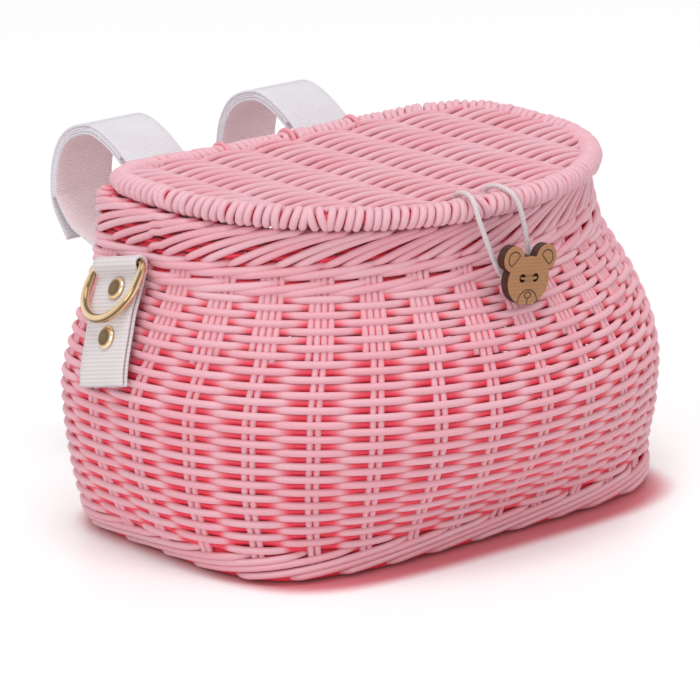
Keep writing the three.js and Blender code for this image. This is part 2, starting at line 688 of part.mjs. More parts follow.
function panelCuts() {
  const notchFront = hingeY - LID_LOOP_RADIUS - STRAND_DIAMETER / 2 - CUT_PLAY;
  const notchSize = [STRAND_DIAMETER + 4 * CUT_PLAY, 2 * (hingeY - notchFront), 2 * LID_RIM_DIAMETER];
  const notches = hingeLoopXs.map((x) => new THREE.BoxGeometry(...notchSize).translate(x, hingeY, LID_MIDDLE));
  const upright = (radius, from, to, x) =>
    new THREE.CylinderGeometry(radius, radius, to - from, CAP_SIDES)
      .rotateX(Math.PI / 2)
      .translate(x, elasticHoleY, (from + to) / 2);
  const holes = Object.values(ELASTIC_HOLE_X).flatMap((x) => [
    upright(ELASTIC_DIAMETER / 2 + CUT_PLAY, panelBottom - 1, panelTop + 1, x),
    upright(KNOT_RADIUS + CUT_PLAY, panelBottom - 1, knotTop + GAP, x),
  ]);
  return [...notches, ...holes];
}

const panelInset = LID_RIM_DIAMETER + GAP;
const panelRings = [outline(LID, panelInset, panelBottom), outline(LID, panelInset, LID_TOP)];

// A slab whose top is woven: each strand rises over every other rib and dips under the rest.
function wovenSlab() {
  const reach = (LID_RIBS / 2) * LID_RIB_SPACING;
  const xs = spread(-reach, reach, 2 * LID_RIBS);
  const middle = panelTop - LID_RIB_RISE;
  const ring = (y, row) => {
    const top = xs.map((x) => {
      const rib = (x + reach - LID_RIB_SPACING / 2) / LID_RIB_SPACING;
      const rise = row === null ? 0 : LID_RIB_RISE * Math.cos(Math.PI * (rib + row));
      return new THREE.Vector3(x, y, middle + rise);
    });
    const end = reach + LID_RIB_SPACING;
    return [
      new THREE.Vector3(-end, y, panelBottom), new THREE.Vector3(-end, y, middle), ...top,
      new THREE.Vector3(end, y, middle), new THREE.Vector3(end, y, panelBottom),
    ];
  };
  const ys = spread(LID_ROW_FRONT, LID_ROW_BACK, LID_ROWS - 1);
  const margin = 2 * LID_RIM_DIAMETER;
  return loft([ring(ys[0] - margin, null), ...ys.map((y, row) => ring(y, row)), ring(ys.at(-1) + margin, null)], true);
}

const wovenPanel = toGeometry(toSolid(loft(panelRings, true)).intersect(toSolid(wovenSlab())));
add(root, "lid_panel", cut(wovenPanel, panelCuts()), WEAVE);

// Button and its thread

const headTop = HEAD_Z + HEAD_HALF_HEIGHT;
const buttonBackY = frontY(HEAD_Z - HEAD_HALF_HEIGHT) - BUTTON_STAND;
const buttonHoleZ = HEAD_Z + BUTTON_HOLE_RISE;
const threadY = (buttonBackY + frontY(buttonHoleZ)) / 2;

// A flat oval drawn out towards the front.
function oval(x, z, halfWidth, halfHeight, from, depth, sides) {
  const angles = spread(0, 2 * Math.PI, sides).slice(1);
  const shape = new THREE.Shape(
    angles.map((a) => new THREE.Vector2(x + halfWidth * Math.cos(a), z + halfHeight * Math.sin(a))),
  );
  const geometry = new THREE.ExtrudeGeometry(shape, { depth, bevelEnabled: false });
  return geometry.rotateX(Math.PI / 2).translate(0, from, 0);
}

const disc = (x, z, halfWidth, halfHeight, sides) =>
  oval(x, z, halfWidth, halfHeight, buttonBackY, BUTTON_THICKNESS, sides);
const head = join([
  disc(0, HEAD_Z, HEAD_HALF_WIDTH, HEAD_HALF_HEIGHT, 32),
  disc(-EAR_X, HEAD_Z + EAR_RISE, EAR_RADIUS, EAR_RADIUS, 20),
  disc(EAR_X, HEAD_Z + EAR_RISE, EAR_RADIUS, EAR_RADIUS, 20),
]);
const buttonHoles = [-BUTTON_HOLE_X, BUTTON_HOLE_X].map((x) =>
  oval(x, buttonHoleZ, BUTTON_HOLE_RADIUS, BUTTON_HOLE_RADIUS, buttonBackY + 1, BUTTON_THICKNESS + 2, CAP_SIDES),
);
add(root, "button", cut(head, buttonHoles), WOOD);

const stitchY = buttonBackY - BUTTON_THICKNESS - THREAD_DIAMETER / 2 - GAP;
const threadRootY = frontY(buttonHoleZ) - GAP;
const stitch = [
  [-BUTTON_HOLE_X, threadRootY], [-BUTTON_HOLE_X, buttonBackY], [-BUTTON_HOLE_X, stitchY + 1.2],
  [-BUTTON_HOLE_X + 1.2, stitchY], [0, stitchY], [BUTTON_HOLE_X - 1.2, stitchY],
  [BUTTON_HOLE_X, stitchY + 1.2], [BUTTON_HOLE_X, buttonBackY], [BUTTON_HOLE_X, threadRootY],
];
const threadLine = stitch.map(([x, y]) => [x, y, buttonHoleZ]);
add(root, "button_thread", openTube(threadLine, THREAD_DIAMETER / 2, 28), CORD);

// Elastic: from a hole in the lid over its rim, down round the thread, and up again to the other hole

const fromEdge = (x, out, up) => [x, -LID_FRONT - out, LID_TOP + up];
const atThread = (x, up, out) => [x, threadY - out, buttonHoleZ + up];
const between = (a, b, share, bow) => a.map((value, k) => value + (b[k] - value) * share + (k === 0 ? bow : 0));
const leftEdge = fromEdge(-17, 2.8, -5);
const leftHook = atThread(-7.6, 2, 0);
const rightHook = atThread(7.2, 3, 0);
const rightEdge = fromEdge(3.8, 2.8, -5);
const inHole = (x, z) => [x, elasticHoleY, z];
const elasticLine = [
  inHole(ELASTIC_HOLE_X.left, knotTop + GAP),
  inHole(ELASTIC_HOLE_X.left, panelTop + 0.4),
  fromEdge(-14.2, -10, 1),
  fromEdge(-15.5, -4.1, 1.5),
  fromEdge(-17.2, 1, -0.4),
  leftEdge,
  between(leftEdge, leftHook, 0.5, -0.4),
  leftHook,
  atThread(-5.5, -0.3, 0.2),
  atThread(-3.7, -2, 0.2),
  atThread(0, -2.3, 0.2),
  atThread(3.7, -2, 0.2),
  atThread(5.5, -0.3, 0.2),
  rightHook,
  between(rightHook, rightEdge, 0.5, 0.8),
  rightEdge,
  fromEdge(2.2, 1, -0.4),
  fromEdge(1.6, -4.1, 1.5),
  fromEdge(1.3, -10, 1),
  inHole(ELASTIC_HOLE_X.right, panelTop + 0.4),
  inHole(ELASTIC_HOLE_X.right, knotTop + GAP),
];
add(root, "elastic_loop", openTube(elasticLine, ELASTIC_DIAMETER / 2, 72), CORD);
for (const [side, x] of Object.entries(ELASTIC_HOLE_X)) {
  const knot = new THREE.SphereGeometry(KNOT_RADIUS, CAP_SIDES, 8).rotateX(Math.PI / 2);
  add(root, `elastic_knot_${side}`, closed(knot.scale(1, 1, KNOT_SQUASH).translate(x, elasticHoleY, knotZ)), CORD);
}

// Where the joints lie, for whoever writes them down
const ringEye = new THREE.Vector3(eyeOut, 0, tabLength).applyMatrix4(tabMatrix);
const flapHinge = route.getPoint(FLAP_START);
root.userData.joints = {
  lid: [0, hingeY, LID_MIDDLE],
  ring: ringEye.toArray(),
  ringAxis: tabAcross.toArray(),
  flap: [STRAP_X, flapHinge.x, flapHinge.y],
  button: [0, buttonBackY - BUTTON_THICKNESS, buttonHoleZ],
};

export default root;
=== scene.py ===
# A child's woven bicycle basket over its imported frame: plastic cane, webbing, gilt metal and wood.
import math

import bpy
import numpy as np
from mathutils import Matrix, Vector


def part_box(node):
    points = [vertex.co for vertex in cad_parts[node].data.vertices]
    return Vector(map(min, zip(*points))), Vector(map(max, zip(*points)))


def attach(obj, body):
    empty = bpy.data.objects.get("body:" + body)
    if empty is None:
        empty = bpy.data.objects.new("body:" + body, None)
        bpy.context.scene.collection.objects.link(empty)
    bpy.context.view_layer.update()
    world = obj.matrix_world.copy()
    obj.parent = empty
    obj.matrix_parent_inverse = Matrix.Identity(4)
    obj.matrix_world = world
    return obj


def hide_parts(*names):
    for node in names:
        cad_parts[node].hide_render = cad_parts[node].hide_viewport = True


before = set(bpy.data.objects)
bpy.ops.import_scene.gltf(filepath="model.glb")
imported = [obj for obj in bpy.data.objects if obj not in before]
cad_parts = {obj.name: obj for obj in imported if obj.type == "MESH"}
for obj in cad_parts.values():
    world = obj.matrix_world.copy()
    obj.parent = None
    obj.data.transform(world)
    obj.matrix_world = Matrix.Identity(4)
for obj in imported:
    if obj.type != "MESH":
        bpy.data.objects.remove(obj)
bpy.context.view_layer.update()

MM = 0.001
TURN = 2 * math.pi
rng = np.random.default_rng(11)


def jitter(size):
    return rng.uniform(-size, size)


# Camera

EYE = Vector((-1.22710, -1.39310, 0.61240))
CAMERA_RIGHT = Vector((0.7538, -0.6571, 0.0))
CAMERA_UP = Vector((0.1875, 0.2151, 0.9584))
CAMERA_BACK = Vector((-0.6298, -0.7224, 0.2854))
LENS = 259.6
SENSOR_WIDTH = 36
FARTHEST = 20
bpy.ops.object.camera_add(location=EYE)
camera = bpy.context.object
camera.matrix_world = Matrix((
    (CAMERA_RIGHT.x, CAMERA_UP.x, CAMERA_BACK.x, EYE.x),
    (CAMERA_RIGHT.y, CAMERA_UP.y, CAMERA_BACK.y, EYE.y),
    (CAMERA_RIGHT.z, CAMERA_UP.z, CAMERA_BACK.z, EYE.z),
    (0, 0, 0, 1),
))
camera.data.lens = LENS
camera.data.sensor_width = SENSOR_WIDTH
camera.data.clip_end = FARTHEST
bpy.context.scene.camera = camera
bpy.context.scene.view_settings.view_transform = "Standard"


# Materials

class Value:
    """A socket of a material's nodes that can be reckoned with."""

    def __init__(self, finish, socket):
        self.finish = finish
        self.socket = socket

    def math(self, operation, *others):
        return self.finish.node("ShaderNodeMath", 0, {"operation": operation}, *((self,) + others))

    def __add__(self, other):
        return self.math("ADD", other)

    __radd__ = __add__

    def __mul__(self, other):
        return self.math("MULTIPLY", other)

    __rmul__ = __mul__

    def __sub__(self, other):
        return self.math("SUBTRACT", other)

    def __rsub__(self, other):
        return (self * -1) + other

    def __truediv__(self, other):
        return self.math("DIVIDE", other)

    def __pow__(self, other):
        return self.math("POWER", other)

    def wave(self):
        """The sine, brought between nought and one."""
        return self.math("SINE") * 0.5 + 0.5

    def size(self):
        return self.math("ABSOLUTE")

    def root(self):
        return self.math("SQRT")

    def highest(self, other):
        return self.math("MAXIMUM", other)

    def ramp(self, low, high):
        settings = {"interpolation_type": "SMOOTHSTEP"}
        return self.finish.node("ShaderNodeMapRange", 0, settings, self, low, high)


class Nodes:
    """The nodes of a material or of the world."""

    def __init__(self, owner):
        owner.use_nodes = True
        self.tree = owner.node_tree

    def put(self, target, value):
        if isinstance(value, Value):
            self.tree.links.new(value.socket, target)
        else:
            target.default_value = value

    def node(self, kind, output, settings, *values, sockets=None, **named):
        made = self.tree.nodes.new(kind)
        for key, value in settings.items():
            setattr(made, key, value)
        for place, value in {**dict(enumerate(values)), **(sockets or {})}.items():
            self.put(made.inputs[place], value)
        for name, value in named.items():
            self.put(made.inputs[name.replace("_", " ")], value)
        return Value(self, made.outputs[output])

    def studio_ray(self):
        """One for what the camera sees, directly or in metal and glass."""
        kinds = ("Is Camera Ray", "Is Glossy Ray", "Is Transmission Ray")
        seen = [self.node("ShaderNodeLightPath", kind, {}) for kind in kinds]
        return seen[0].highest(seen[1]).highest(seen[2])


class Finish(Nodes):
    """A procedural material."""

    def __init__(self, name):
        self.material = bpy.data.materials.new(name)
        super().__init__(self.material)
        self.surface = self.tree.nodes["Principled BSDF"]

    def place(self):
        return self.node("ShaderNodeTexCoord", "Object", {})

    def axes(self):
        place = self.place()
        return [self.node("ShaderNodeSeparateXYZ", axis, {}, place) for axis in "XYZ"]

    def stretched(self, x, y, z):
        return self.node("ShaderNodeMapping", 0, {}, self.place(), Scale=(x, y, z))

    def carried(self, name):
        """A value that the mesh carries at its points."""
        return self.node("ShaderNodeAttribute", "Fac", {"attribute_name": name})

    def noise(self, scale, detail, at=None):
        where = at or self.place()
        return self.node("ShaderNodeTexNoise", "Fac", {}, Vector=where, Scale=scale, Detail=detail)

    def mix(self, share, first, second):
        sockets = {0: share, 6: first, 7: second}
        return self.node("ShaderNodeMix", 2, {"data_type": "RGBA"}, sockets=sockets)

    def bump(self, height, depth, strength):
        return self.node("ShaderNodeBump", 0, {}, Height=height, Distance=depth, Strength=strength)

    def set(self, **values):
        for key, value in values.items():
            self.put(self.surface.inputs[key.replace("_", " ")], value)
        return self.material


def rattan_finish(name, pale, warm, deep):
    finish = Finish(name)
    grain = finish.noise(scale=420, detail=4)
    cloud = finish.noise(scale=38, detail=2)
    warmth = (finish.carried("tone") * 0.55 + cloud * 0.6).ramp(0.15, 0.95)
    # Painted shade: faces turned into the weave are painted deep red.
    inward = finish.carried("deep").ramp(0.38, 0.86)
    return finish.set(
        Base_Color=finish.mix(inward, finish.mix(warmth, pale, warm), deep),
        Roughness=0.36 + grain * 0.2,
        Specular_IOR_Level=0.5,
        Normal=finish.bump(grain, depth=0.00025, strength=0.35),
    )


THREAD_PITCH = 0.0009
# Painted light: one face of the strap webbing is painted pink for the light that the cane throws on it.
PAINTED_BOUNCE_DARK = (0.82, 0.69, 0.71, 1)
PAINTED_BOUNCE_PALE = (0.90, 0.78, 0.80, 1)


def webbing_finish(name, pale, shade, rib_pitch):
    finish = Finish(name)
    rib = (finish.carried("along") * (TURN / rib_pitch)).wave()
    thread = (finish.carried("across") * (TURN / THREAD_PITCH)).wave()
    fuzz = finish.noise(scale=900, detail=3)
    wear = finish.noise(scale=60, detail=3)
    height = rib + thread * 0.25 + fuzz * 0.35
    cloth = finish.mix((rib * 0.35 + wear * 0.55).ramp(0.1, 0.8), shade, pale)
    # Painted pink bounce light on one face.
    painted_bounce = finish.mix(rib * 0.5 + wear * 0.5, PAINTED_BOUNCE_DARK, PAINTED_BOUNCE_PALE)
    return finish.set(
        Base_Color=finish.mix(finish.carried("deep"), cloth, painted_bounce),
        Roughness=0.72 + fuzz * 0.2,
        Specular_IOR_Level=0.3,
        Normal=finish.bump(height, depth=0.00022, strength=0.6),
    )


HOOK_SCALE = 1500.0


def pile_finish(name, pale, shade):
    finish = Finish(name)
    hooks = finish.node("ShaderNodeTexVoronoi", "Distance", {}, Vector=finish.place(), Scale=HOOK_SCALE)
    fuzz = finish.noise(scale=700, detail=4)
    return finish.set(
        Base_Color=finish.mix((hooks * 0.8 + fuzz * 0.4).ramp(0.2, 0.9), pale, shade),
        Roughness=0.88 + fuzz * 0.1,
        Normal=finish.bump(hooks + fuzz, depth=0.0004, strength=0.7),
    )


GOLD_SHADE = (0.80, 0.55, 0.31, 1)
GOLD_PALE = (0.90, 0.68, 0.44, 1)
# The near-black is a painted reflection: dark marks on the polished metal stand for a dark room it would
# mirror.
PAINTED_REFLECTION_DARK = (0.09, 0.05, 0.02, 1)


def gold_finish(name):
    finish = Finish(name)
    cloud = finish.noise(scale=90, detail=3)
    scratch = finish.noise(scale=700, detail=2, at=finish.stretched(1, 1, 9))
    polish = finish.mix(cloud.ramp(0.3, 0.7), GOLD_SHADE, GOLD_PALE)
    return finish.set(
        Base_Color=finish.mix(finish.carried("deep"), polish, PAINTED_REFLECTION_DARK),
        Metallic=1.0,
        Roughness=0.09 + cloud * 0.08,
        Normal=finish.bump(scratch, depth=0.00003, strength=0.25),
    )


BRAID_PITCH = 0.0016
BRAID_STARTS = 4


def cord_finish(name, pale, shade):
    finish = Finish(name)
    along = finish.carried("along") * (TURN / BRAID_PITCH)
    turn = finish.carried("turn") * BRAID_STARTS
    braid = (along + turn).wave() * (along - turn).wave()
    fuzz = finish.noise(scale=1100, detail=2)
    return finish.set(
        Base_Color=finish.mix((braid * 0.5 + fuzz * 0.5).ramp(0.1, 0.8), shade, pale),
        Roughness=0.7 + fuzz * 0.2,
        Normal=finish.bump(braid, depth=0.0002, strength=0.5),
    )


PALE_PINK = (0.80, 0.455, 0.515, 1)
WARM_PINK = (0.80, 0.37, 0.43, 1)
# The deep red is painted shade for the crevices of the weave.
PAINTED_SHADE_RED = (0.86, 0.045, 0.09, 1)
rattan = rattan_finish("plastic_rattan", PALE_PINK, WARM_PINK, PAINTED_SHADE_RED)
webbing = webbing_finish("white_webbing", (0.83, 0.80, 0.84, 1), (0.68, 0.65, 0.69, 1), 0.0011)
tab_webbing = webbing_finish("tab_webbing", (0.80, 0.74, 0.75, 1), (0.66, 0.60, 0.61, 1), 0.0015)
tape = pile_finish("hook_and_loop", (0.88, 0.84, 0.89, 1), (0.78, 0.73, 0.80, 1))
gold = gold_finish("polished_gold")
elastic_cloth = cord_finish("elastic_cover", (0.80, 0.71, 0.72, 1), (0.66, 0.56, 0.58, 1))
thread_cloth = cord_finish("cotton_thread", (0.46, 0.27, 0.14, 1), (0.25, 0.13, 0.06, 1))


# Meshes

class Shape:
    """Points in millimetres and the faces between them, gathered from many strands."""

    def __init__(self):
        self.points = []
        self.faces = []
        self.values = {"tone": [], "deep": [], "along": [], "across": [], "turn": []}
        self.count = 0

    def add(self, points, faces, **values):
        flat = np.asarray(points, dtype=float).reshape(-1, 3)
        self.points.append(flat)
        self.faces.extend([[index + self.count for index in face] for face in faces])
        for key, held in self.values.items():
            value = np.asarray(values.get(key, 0.0), dtype=float)
            held.append(np.broadcast_to(value, np.shape(points)[:-1]).ravel())
        self.count += len(flat)

    def piece(self, name, material, body, nodes, mirror=1):
        points = np.concatenate(self.points) * MM * np.array([mirror, 1, 1])
        faces = self.faces if mirror > 0 else [face[::-1] for face in self.faces]
        mesh = bpy.data.meshes.new(name)
        mesh.from_pydata(points.tolist(), [], faces)
        for key, held in self.values.items():
            mesh.attributes.new(key, "FLOAT", "POINT").data.foreach_set("value", np.concatenate(held))
        mesh.materials.append(material)
        mesh.polygons.foreach_set("use_smooth", [True] * len(mesh.polygons))
        made = bpy.data.objects.new(name, mesh)
        bpy.context.collection.objects.link(made)
        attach(made, body)
        if nodes:
            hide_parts(*nodes)
        return made


def unit(vectors):
    return vectors / np.maximum(np.linalg.norm(vectors, axis=-1, keepdims=True), 1e-9)


def arc(points):
    """Length along a line of points."""
    return np.concatenate([[0], np.cumsum(np.linalg.norm(np.diff(points, axis=0), axis=1))])


def grid_faces(rows, columns, closed):
    """Faces of rows of points that are rings. Closed joins the last row to the first."""
    faces = []
    for row in range(rows if closed else rows - 1):
        here = row * columns
        after = (row + 1) % rows * columns
        for column in range(columns):
            right = (column + 1) % columns
            faces.append([here + column, here + right, after + right, after + column])
    return faces


def capped_faces(rows, columns):
    """Faces of rows of points that are rings, with a face at each end."""
    first = list(range(columns))
    last = [(rows - 1) * columns + column for column in first]
    return grid_faces(rows, columns, False) + [first[::-1], last]


def directions(path, closed):
    along = np.roll(path, -1, axis=0) - np.roll(path, 1, axis=0)
    if not closed:
        along[0] = path[1] - path[0]
        along[-1] = path[-1] - path[-2]
    return unit(along)


SIDES = 8
SIDE_TURNS = TURN * np.arange(SIDES) / SIDES
OUTWARD = -np.cos(SIDE_TURNS)
UPWARD = np.sin(SIDE_TURNS)


def tube(shape, path, radius, sides=SIDES, closed=False, up=(0, 0, 1), tone=0.0, deep=0.0):
    """A round strand along a path. Tone is its shade of colour, and the value after it is painted light:
    how much painted shade, or on metal painted reflection, each point takes.
    """
    path = np.asarray(path, dtype=float)
    along = directions(path, closed)
    side = unit(np.cross(np.broadcast_to(up, path.shape), along))
    lift = np.cross(along, side)
    turn = TURN * np.arange(sides) / sides
    radii = np.broadcast_to(np.asarray(radius, dtype=float), (len(path),))[:, None, None]
    ring = np.cos(turn)[None, :, None] * side[:, None] + np.sin(turn)[None, :, None] * lift[:, None]
    points = path[:, None] + radii * ring
    faces = grid_faces(len(path), sides, True) if closed else capped_faces(len(path), sides)
    length = np.broadcast_to(arc(path)[:, None] * MM, (len(path), sides))
    shape.add(points, faces, tone=tone, deep=deep, along=length, turn=np.broadcast_to(turn, length.shape))


def hidden(swing, facing):
    """How far each point of a strand faces into the weave, from its swing and how its sides face: the share
    of painted shade it takes.
    """
    return 0.5 - 0.5 * np.asarray(swing)[..., None] * facing


FINE_STEPS = 40


def smooth_path(points, steps, closed=False):
    """Points evenly spread on a centripetal curve through the given ones."""
    points = np.asarray(points, dtype=float)
    if closed:
        points = np.concatenate([points[-2:], points, points[:3]])
    else:
        points = np.concatenate([[2 * points[0] - points[1]], points, [2 * points[-1] - points[-2]]])
    gaps = np.sqrt(np.linalg.norm(np.diff(points, axis=0), axis=1))
    knots = np.concatenate([[0], np.cumsum(np.maximum(gaps, 1e-6))])
    first, last = (2, len(points) - 3) if closed else (1, len(points) - 2)
    fine = np.linspace(knots[first], knots[last], FINE_STEPS * len(points))
    span = np.clip(np.searchsorted(knots, fine, side="right") - 1, 1, len(points) - 3)
    near = [points[span + k] for k in (-1, 0, 1, 2)]
    knot = [knots[span + k][:, None] for k in (-1, 0, 1, 2)]
    at = fine[:, None]

    def blend(one, other, low, high):
        return (high - at) / (high - low) * one + (at - low) / (high - low) * other

    lines = [blend(near[k], near[k + 1], knot[k], knot[k + 1]) for k in range(3)]
    bends = [blend(lines[k], lines[k + 1], knot[k], knot[k + 2]) for k in range(2)]
    return respaced(blend(bends[0], bends[1], knot[1], knot[2]), steps, closed)


def respaced(curve, steps, closed=False):
    length = arc(curve)
    wanted = np.linspace(0, length[-1], steps + 1 if closed else steps)[:steps]
    return np.stack([np.interp(wanted, length, curve[:, k]) for k in range(curve.shape[1])], axis=1)


# Elastic: the cord comes before the other pieces

ELASTIC_LINE = [
    (-13.5, -60, 132.81), (-13.5, -60, 134.9), (-14.2, -63.6, 137), (-15.5, -69.5, 137.5),
    (-17.2, -74.6, 135.6), (-17, -76.4, 131), (-12.7, -77.13, 119.8), (-7.6, -77.86, 108.6),
    (-5.5, -78.06, 106.3), (-3.7, -78.06, 104.6), (0, -78.06, 104.3), (3.7, -78.06, 104.6),
    (5.5, -78.06, 106.3), (7.2, -77.86, 109.6), (6.3, -77.13, 120.3), (3.8, -76.4, 131),
    (2.2, -74.6, 135.6), (1.6, -69.5, 137.5), (1.3, -63.6, 137), (1.2, -60, 134.9), (1.2, -60, 132.81),
]
ELASTIC_RADIUS = 1.0
ELASTIC_SIDES = 14
ELASTIC_STEPS = 150
elastic_path = smooth_path(ELASTIC_LINE, ELASTIC_STEPS)
elastic_shape = Shape()
tube(elastic_shape, elastic_path, ELASTIC_RADIUS, ELASTIC_SIDES, up=(0, -1, 0.2))
elastic = elastic_shape.piece("elastic_cord", elastic_cloth, "lid", ["elastic_loop"])

KNOT_Z = 130.83
KNOT_SCALE = 0.47
KNOT_CORD_RADIUS = 0.66
KNOT_DEPTH = 1.6
KNOT_SIDES = 10
KNOT_STEPS = 72
knot_lap = np.linspace(0, TURN, KNOT_STEPS, endpoint=False)
trefoil = np.stack([
    np.sin(knot_lap) + 2 * np.sin(2 * knot_lap),
    np.cos(knot_lap) - 2 * np.cos(2 * knot_lap),
    -KNOT_DEPTH * np.sin(3 * knot_lap),
], axis=1)
for side, end in (("left", ELASTIC_LINE[0]), ("right", ELASTIC_LINE[-1])):
    knot_path = trefoil * KNOT_SCALE + np.array([end[0], end[1], KNOT_Z])
    knot_shape = Shape()
    tube(knot_shape, knot_path, KNOT_CORD_RADIUS, KNOT_SIDES, closed=True, up=(0.1, 0.2, 1))
    node = f"elastic_knot_{side}"
    knot_shape.piece(f"cord_knot_{side}", elastic_cloth, "lid", [node])
tuple(elastic_path[0] * MM)
[tuple(p) for p in elastic_path * MM]


# Level outlines of the body and the lid
# A row: height, half width, front, back, where it is widest, and the powers of the front and back curves

LEVELS = np.array([
    [0, 105.5, 67.5, 66, 2, 4.5, 5.5],
    [14, 115, 73, 62, 4, 3, 4.8],
    [38, 121, 91.5, 62, 11, 2.25, 4.2],
    [60, 123, 99.3, 62, 12, 2, 4.2],
    [85, 115, 89, 62, 7, 1.88, 4.6],
    [106, 104.5, 74, 62, 5.5, 1.78, 5],
    [127.2, 100, 68, 62, 7, 1.8, 5.5],
])
LID = np.array([98.5, 73.6, 56, 6, 2, 5])
BACK_FLATNESS = 1.03
spans = np.diff(LEVELS[:, 0])
slopes = np.diff(LEVELS[:, 1:], axis=0) / spans[:, None]
turns = slopes[:-1] * slopes[1:]
means = 2 * turns / np.where(turns > 0, slopes[:-1] + slopes[1:], 1)
tangents = np.concatenate([slopes[:1], np.where(turns > 0, means, 0), slopes[-1:]])


def body_sizes(z):
    z = np.asarray(z, dtype=float)
    i = np.clip(np.searchsorted(LEVELS[:, 0], z, side="left") - 1, 0, len(spans) - 1)
    span = spans[i][..., None]
    t = np.clip((z - LEVELS[i, 0])[..., None] / span, 0, 1)
    rise = t * t * (3 - 2 * t)
    lead = t * (1 - t) ** 2 * span * tangents[i]
    trail = t * t * (t - 1) * span * tangents[i + 1]
    return LEVELS[i, 1:] * (1 - rise) + LEVELS[i + 1, 1:] * rise + lead + trail


def outline(sizes, angle, inset, z):
    half, front, back, widest, bow, heel = np.moveaxis(sizes, -1, 0)
    c = np.cos(angle)
    s = np.sin(angle)
    power = 2 / np.where(s < 0, bow, heel)
    x = (half - inset) * np.sign(c) * np.abs(c) ** power
    ahead = -(front + widest - inset) * np.abs(s) ** power
    behind = (back - widest - inset) * np.minimum(1, BACK_FLATNESS * np.abs(s) ** power)
    return np.stack(np.broadcast_arrays(x, widest + np.where(s < 0, ahead, behind), z), axis=-1)


STAKES = 28
FIRST_STAKE = 0.45
BELLY_Z = 60
LID_RADIUS = 4.25
WHOLE_TURN = np.linspace(0, TURN, 4001)
HALF_TURN = np.linspace(0, math.pi, 1201)
TABLE_LEVELS = np.linspace(0, 128, 33)


def half_arc(z, start):
    return arc(outline(body_sizes(np.full(HALF_TURN.shape, z)), HALF_TURN + start, 0, z))


belly_back = half_arc(BELLY_Z, 0)[-1]
BACK_SHARE = belly_back / (belly_back + half_arc(BELLY_Z, math.pi)[-1])
back_tables = [half_arc(z, 0) for z in TABLE_LEVELS]
front_tables = [half_arc(z, math.pi) for z in TABLE_LEVELS]
lid_length = arc(outline(LID, WHOLE_TURN, LID_RADIUS, 0.0))


def stake_angle(stake, z):
    """The angle of a place counted in stakes from the +X side, spread evenly in each half."""
    share = ((stake + FIRST_STAKE) / STAKES) % 1
    behind = share < BACK_SHARE
    part = np.where(behind, share / BACK_SHARE, (share - BACK_SHARE) / (1 - BACK_SHARE))
    angles = []
    for back, front in zip(back_tables, front_tables):
        back_angle = np.interp(part, back / back[-1], HALF_TURN)
        front_angle = math.pi + np.interp(part, front / front[-1], HALF_TURN)
        angles.append(np.where(behind, back_angle, front_angle))
    angles = np.stack(angles)
    at = np.clip(z / (TABLE_LEVELS[1] - TABLE_LEVELS[0]), 0, len(TABLE_LEVELS) - 1.001)
    low = at.astype(int)
    every = np.arange(len(part))
    return angles[low, every] * (1 - at + low) + angles[low + 1, every] * (at - low)


def body_place(stake, z, depth):
    """Points of the body, by stakes from the +X side, heights, and depths under the outside."""
    stake = np.atleast_1d(np.asarray(stake, dtype=float))
    z = np.asarray(z, dtype=float)
    depth = np.asarray(depth, dtype=float)
    stake, z, depth = np.broadcast_arrays(stake, z, depth)
    return outline(body_sizes(z), stake_angle(stake, z), depth, z)


def lid_place(share, z, depth):
    """Points of the lid's edge, by shares of the way round, heights and depths."""
    angle = np.interp(share % 1, lid_length / lid_length[-1], WHOLE_TURN)
    return outline(LID, angle, depth, z + 0 * angle)


def drift(stake, size, waves=(1, 2, 3, 5)):
    """A slow random wander round the body."""
    total = np.zeros_like(stake)
    for wave in waves:
        total = total + np.sin(TURN * wave * stake / STAKES + rng.uniform(0, TURN)) * rng.uniform(0.3, 1)
    return size * total / len(waves)


# Wall: pairs of uprights, and weavers that pass before and behind them by turns

ROW_START = 15.6
ROW_PITCH = 90 / 35
FIRST_ROW = -1
LAST_ROW = 34
ROW_WANDER = 0.2
STRAND_RADIUS = 1.55
RADIUS_SWING = 0.03
RADIUS_WANDER = 0.04
WEAVE_SWING = 1.15
WEAVE_BEND = 1.4
WEAVE_TILT = 0.25
LOW_TILT = 0.42
WALL_DEPTH = 0.1
DEPTH_WANDER = 0.15
# How much painted shade the weavers take, and how much more near the foot.
WALL_SHADE = 0.86
LOW_SHADE = 0.36
STEPS_PER_STAKE = 11
FOOT_TOP = 12.0
LOW_REACH = 25

weavers = Shape()
around = np.arange(STAKES * STEPS_PER_STAKE) / STEPS_PER_STAKE
for row in range(FIRST_ROW, LAST_ROW + 1):
    height = ROW_START + ROW_PITCH * row
    near_foot = math.exp((FOOT_TOP - height) / LOW_REACH)
    swing = np.tanh(WEAVE_BEND * np.cos(math.pi * (around + row))) / math.tanh(WEAVE_BEND)
    z = height + drift(around, ROW_WANDER) + (WEAVE_TILT - LOW_TILT * near_foot) * swing
    depth = STRAND_RADIUS + WEAVE_SWING * (1 - swing) + WALL_DEPTH + drift(around, DEPTH_WANDER)
    radius = STRAND_RADIUS * (1.0 - RADIUS_SWING * swing + drift(around, RADIUS_WANDER))
    # Painted shade: each weaver is painted deep red on faces turned into the weave, most where it passes
    # behind the uprights, more near the foot.
    deep = (WALL_SHADE + LOW_SHADE * near_foot) * hidden(swing, OUTWARD)
    tube(weavers, body_place(around, z, depth), radius, closed=True, tone=rng.uniform(0, 1), deep=deep)
weavers.piece("wall_weavers", rattan, "basket", ["basket_wall"])

STAKE_RADIUS = 1.3
STAKE_DEPTH = STRAND_RADIUS + WEAVE_SWING + WALL_DEPTH
STAKE_FOOT = 6
STAKE_TOP = 112
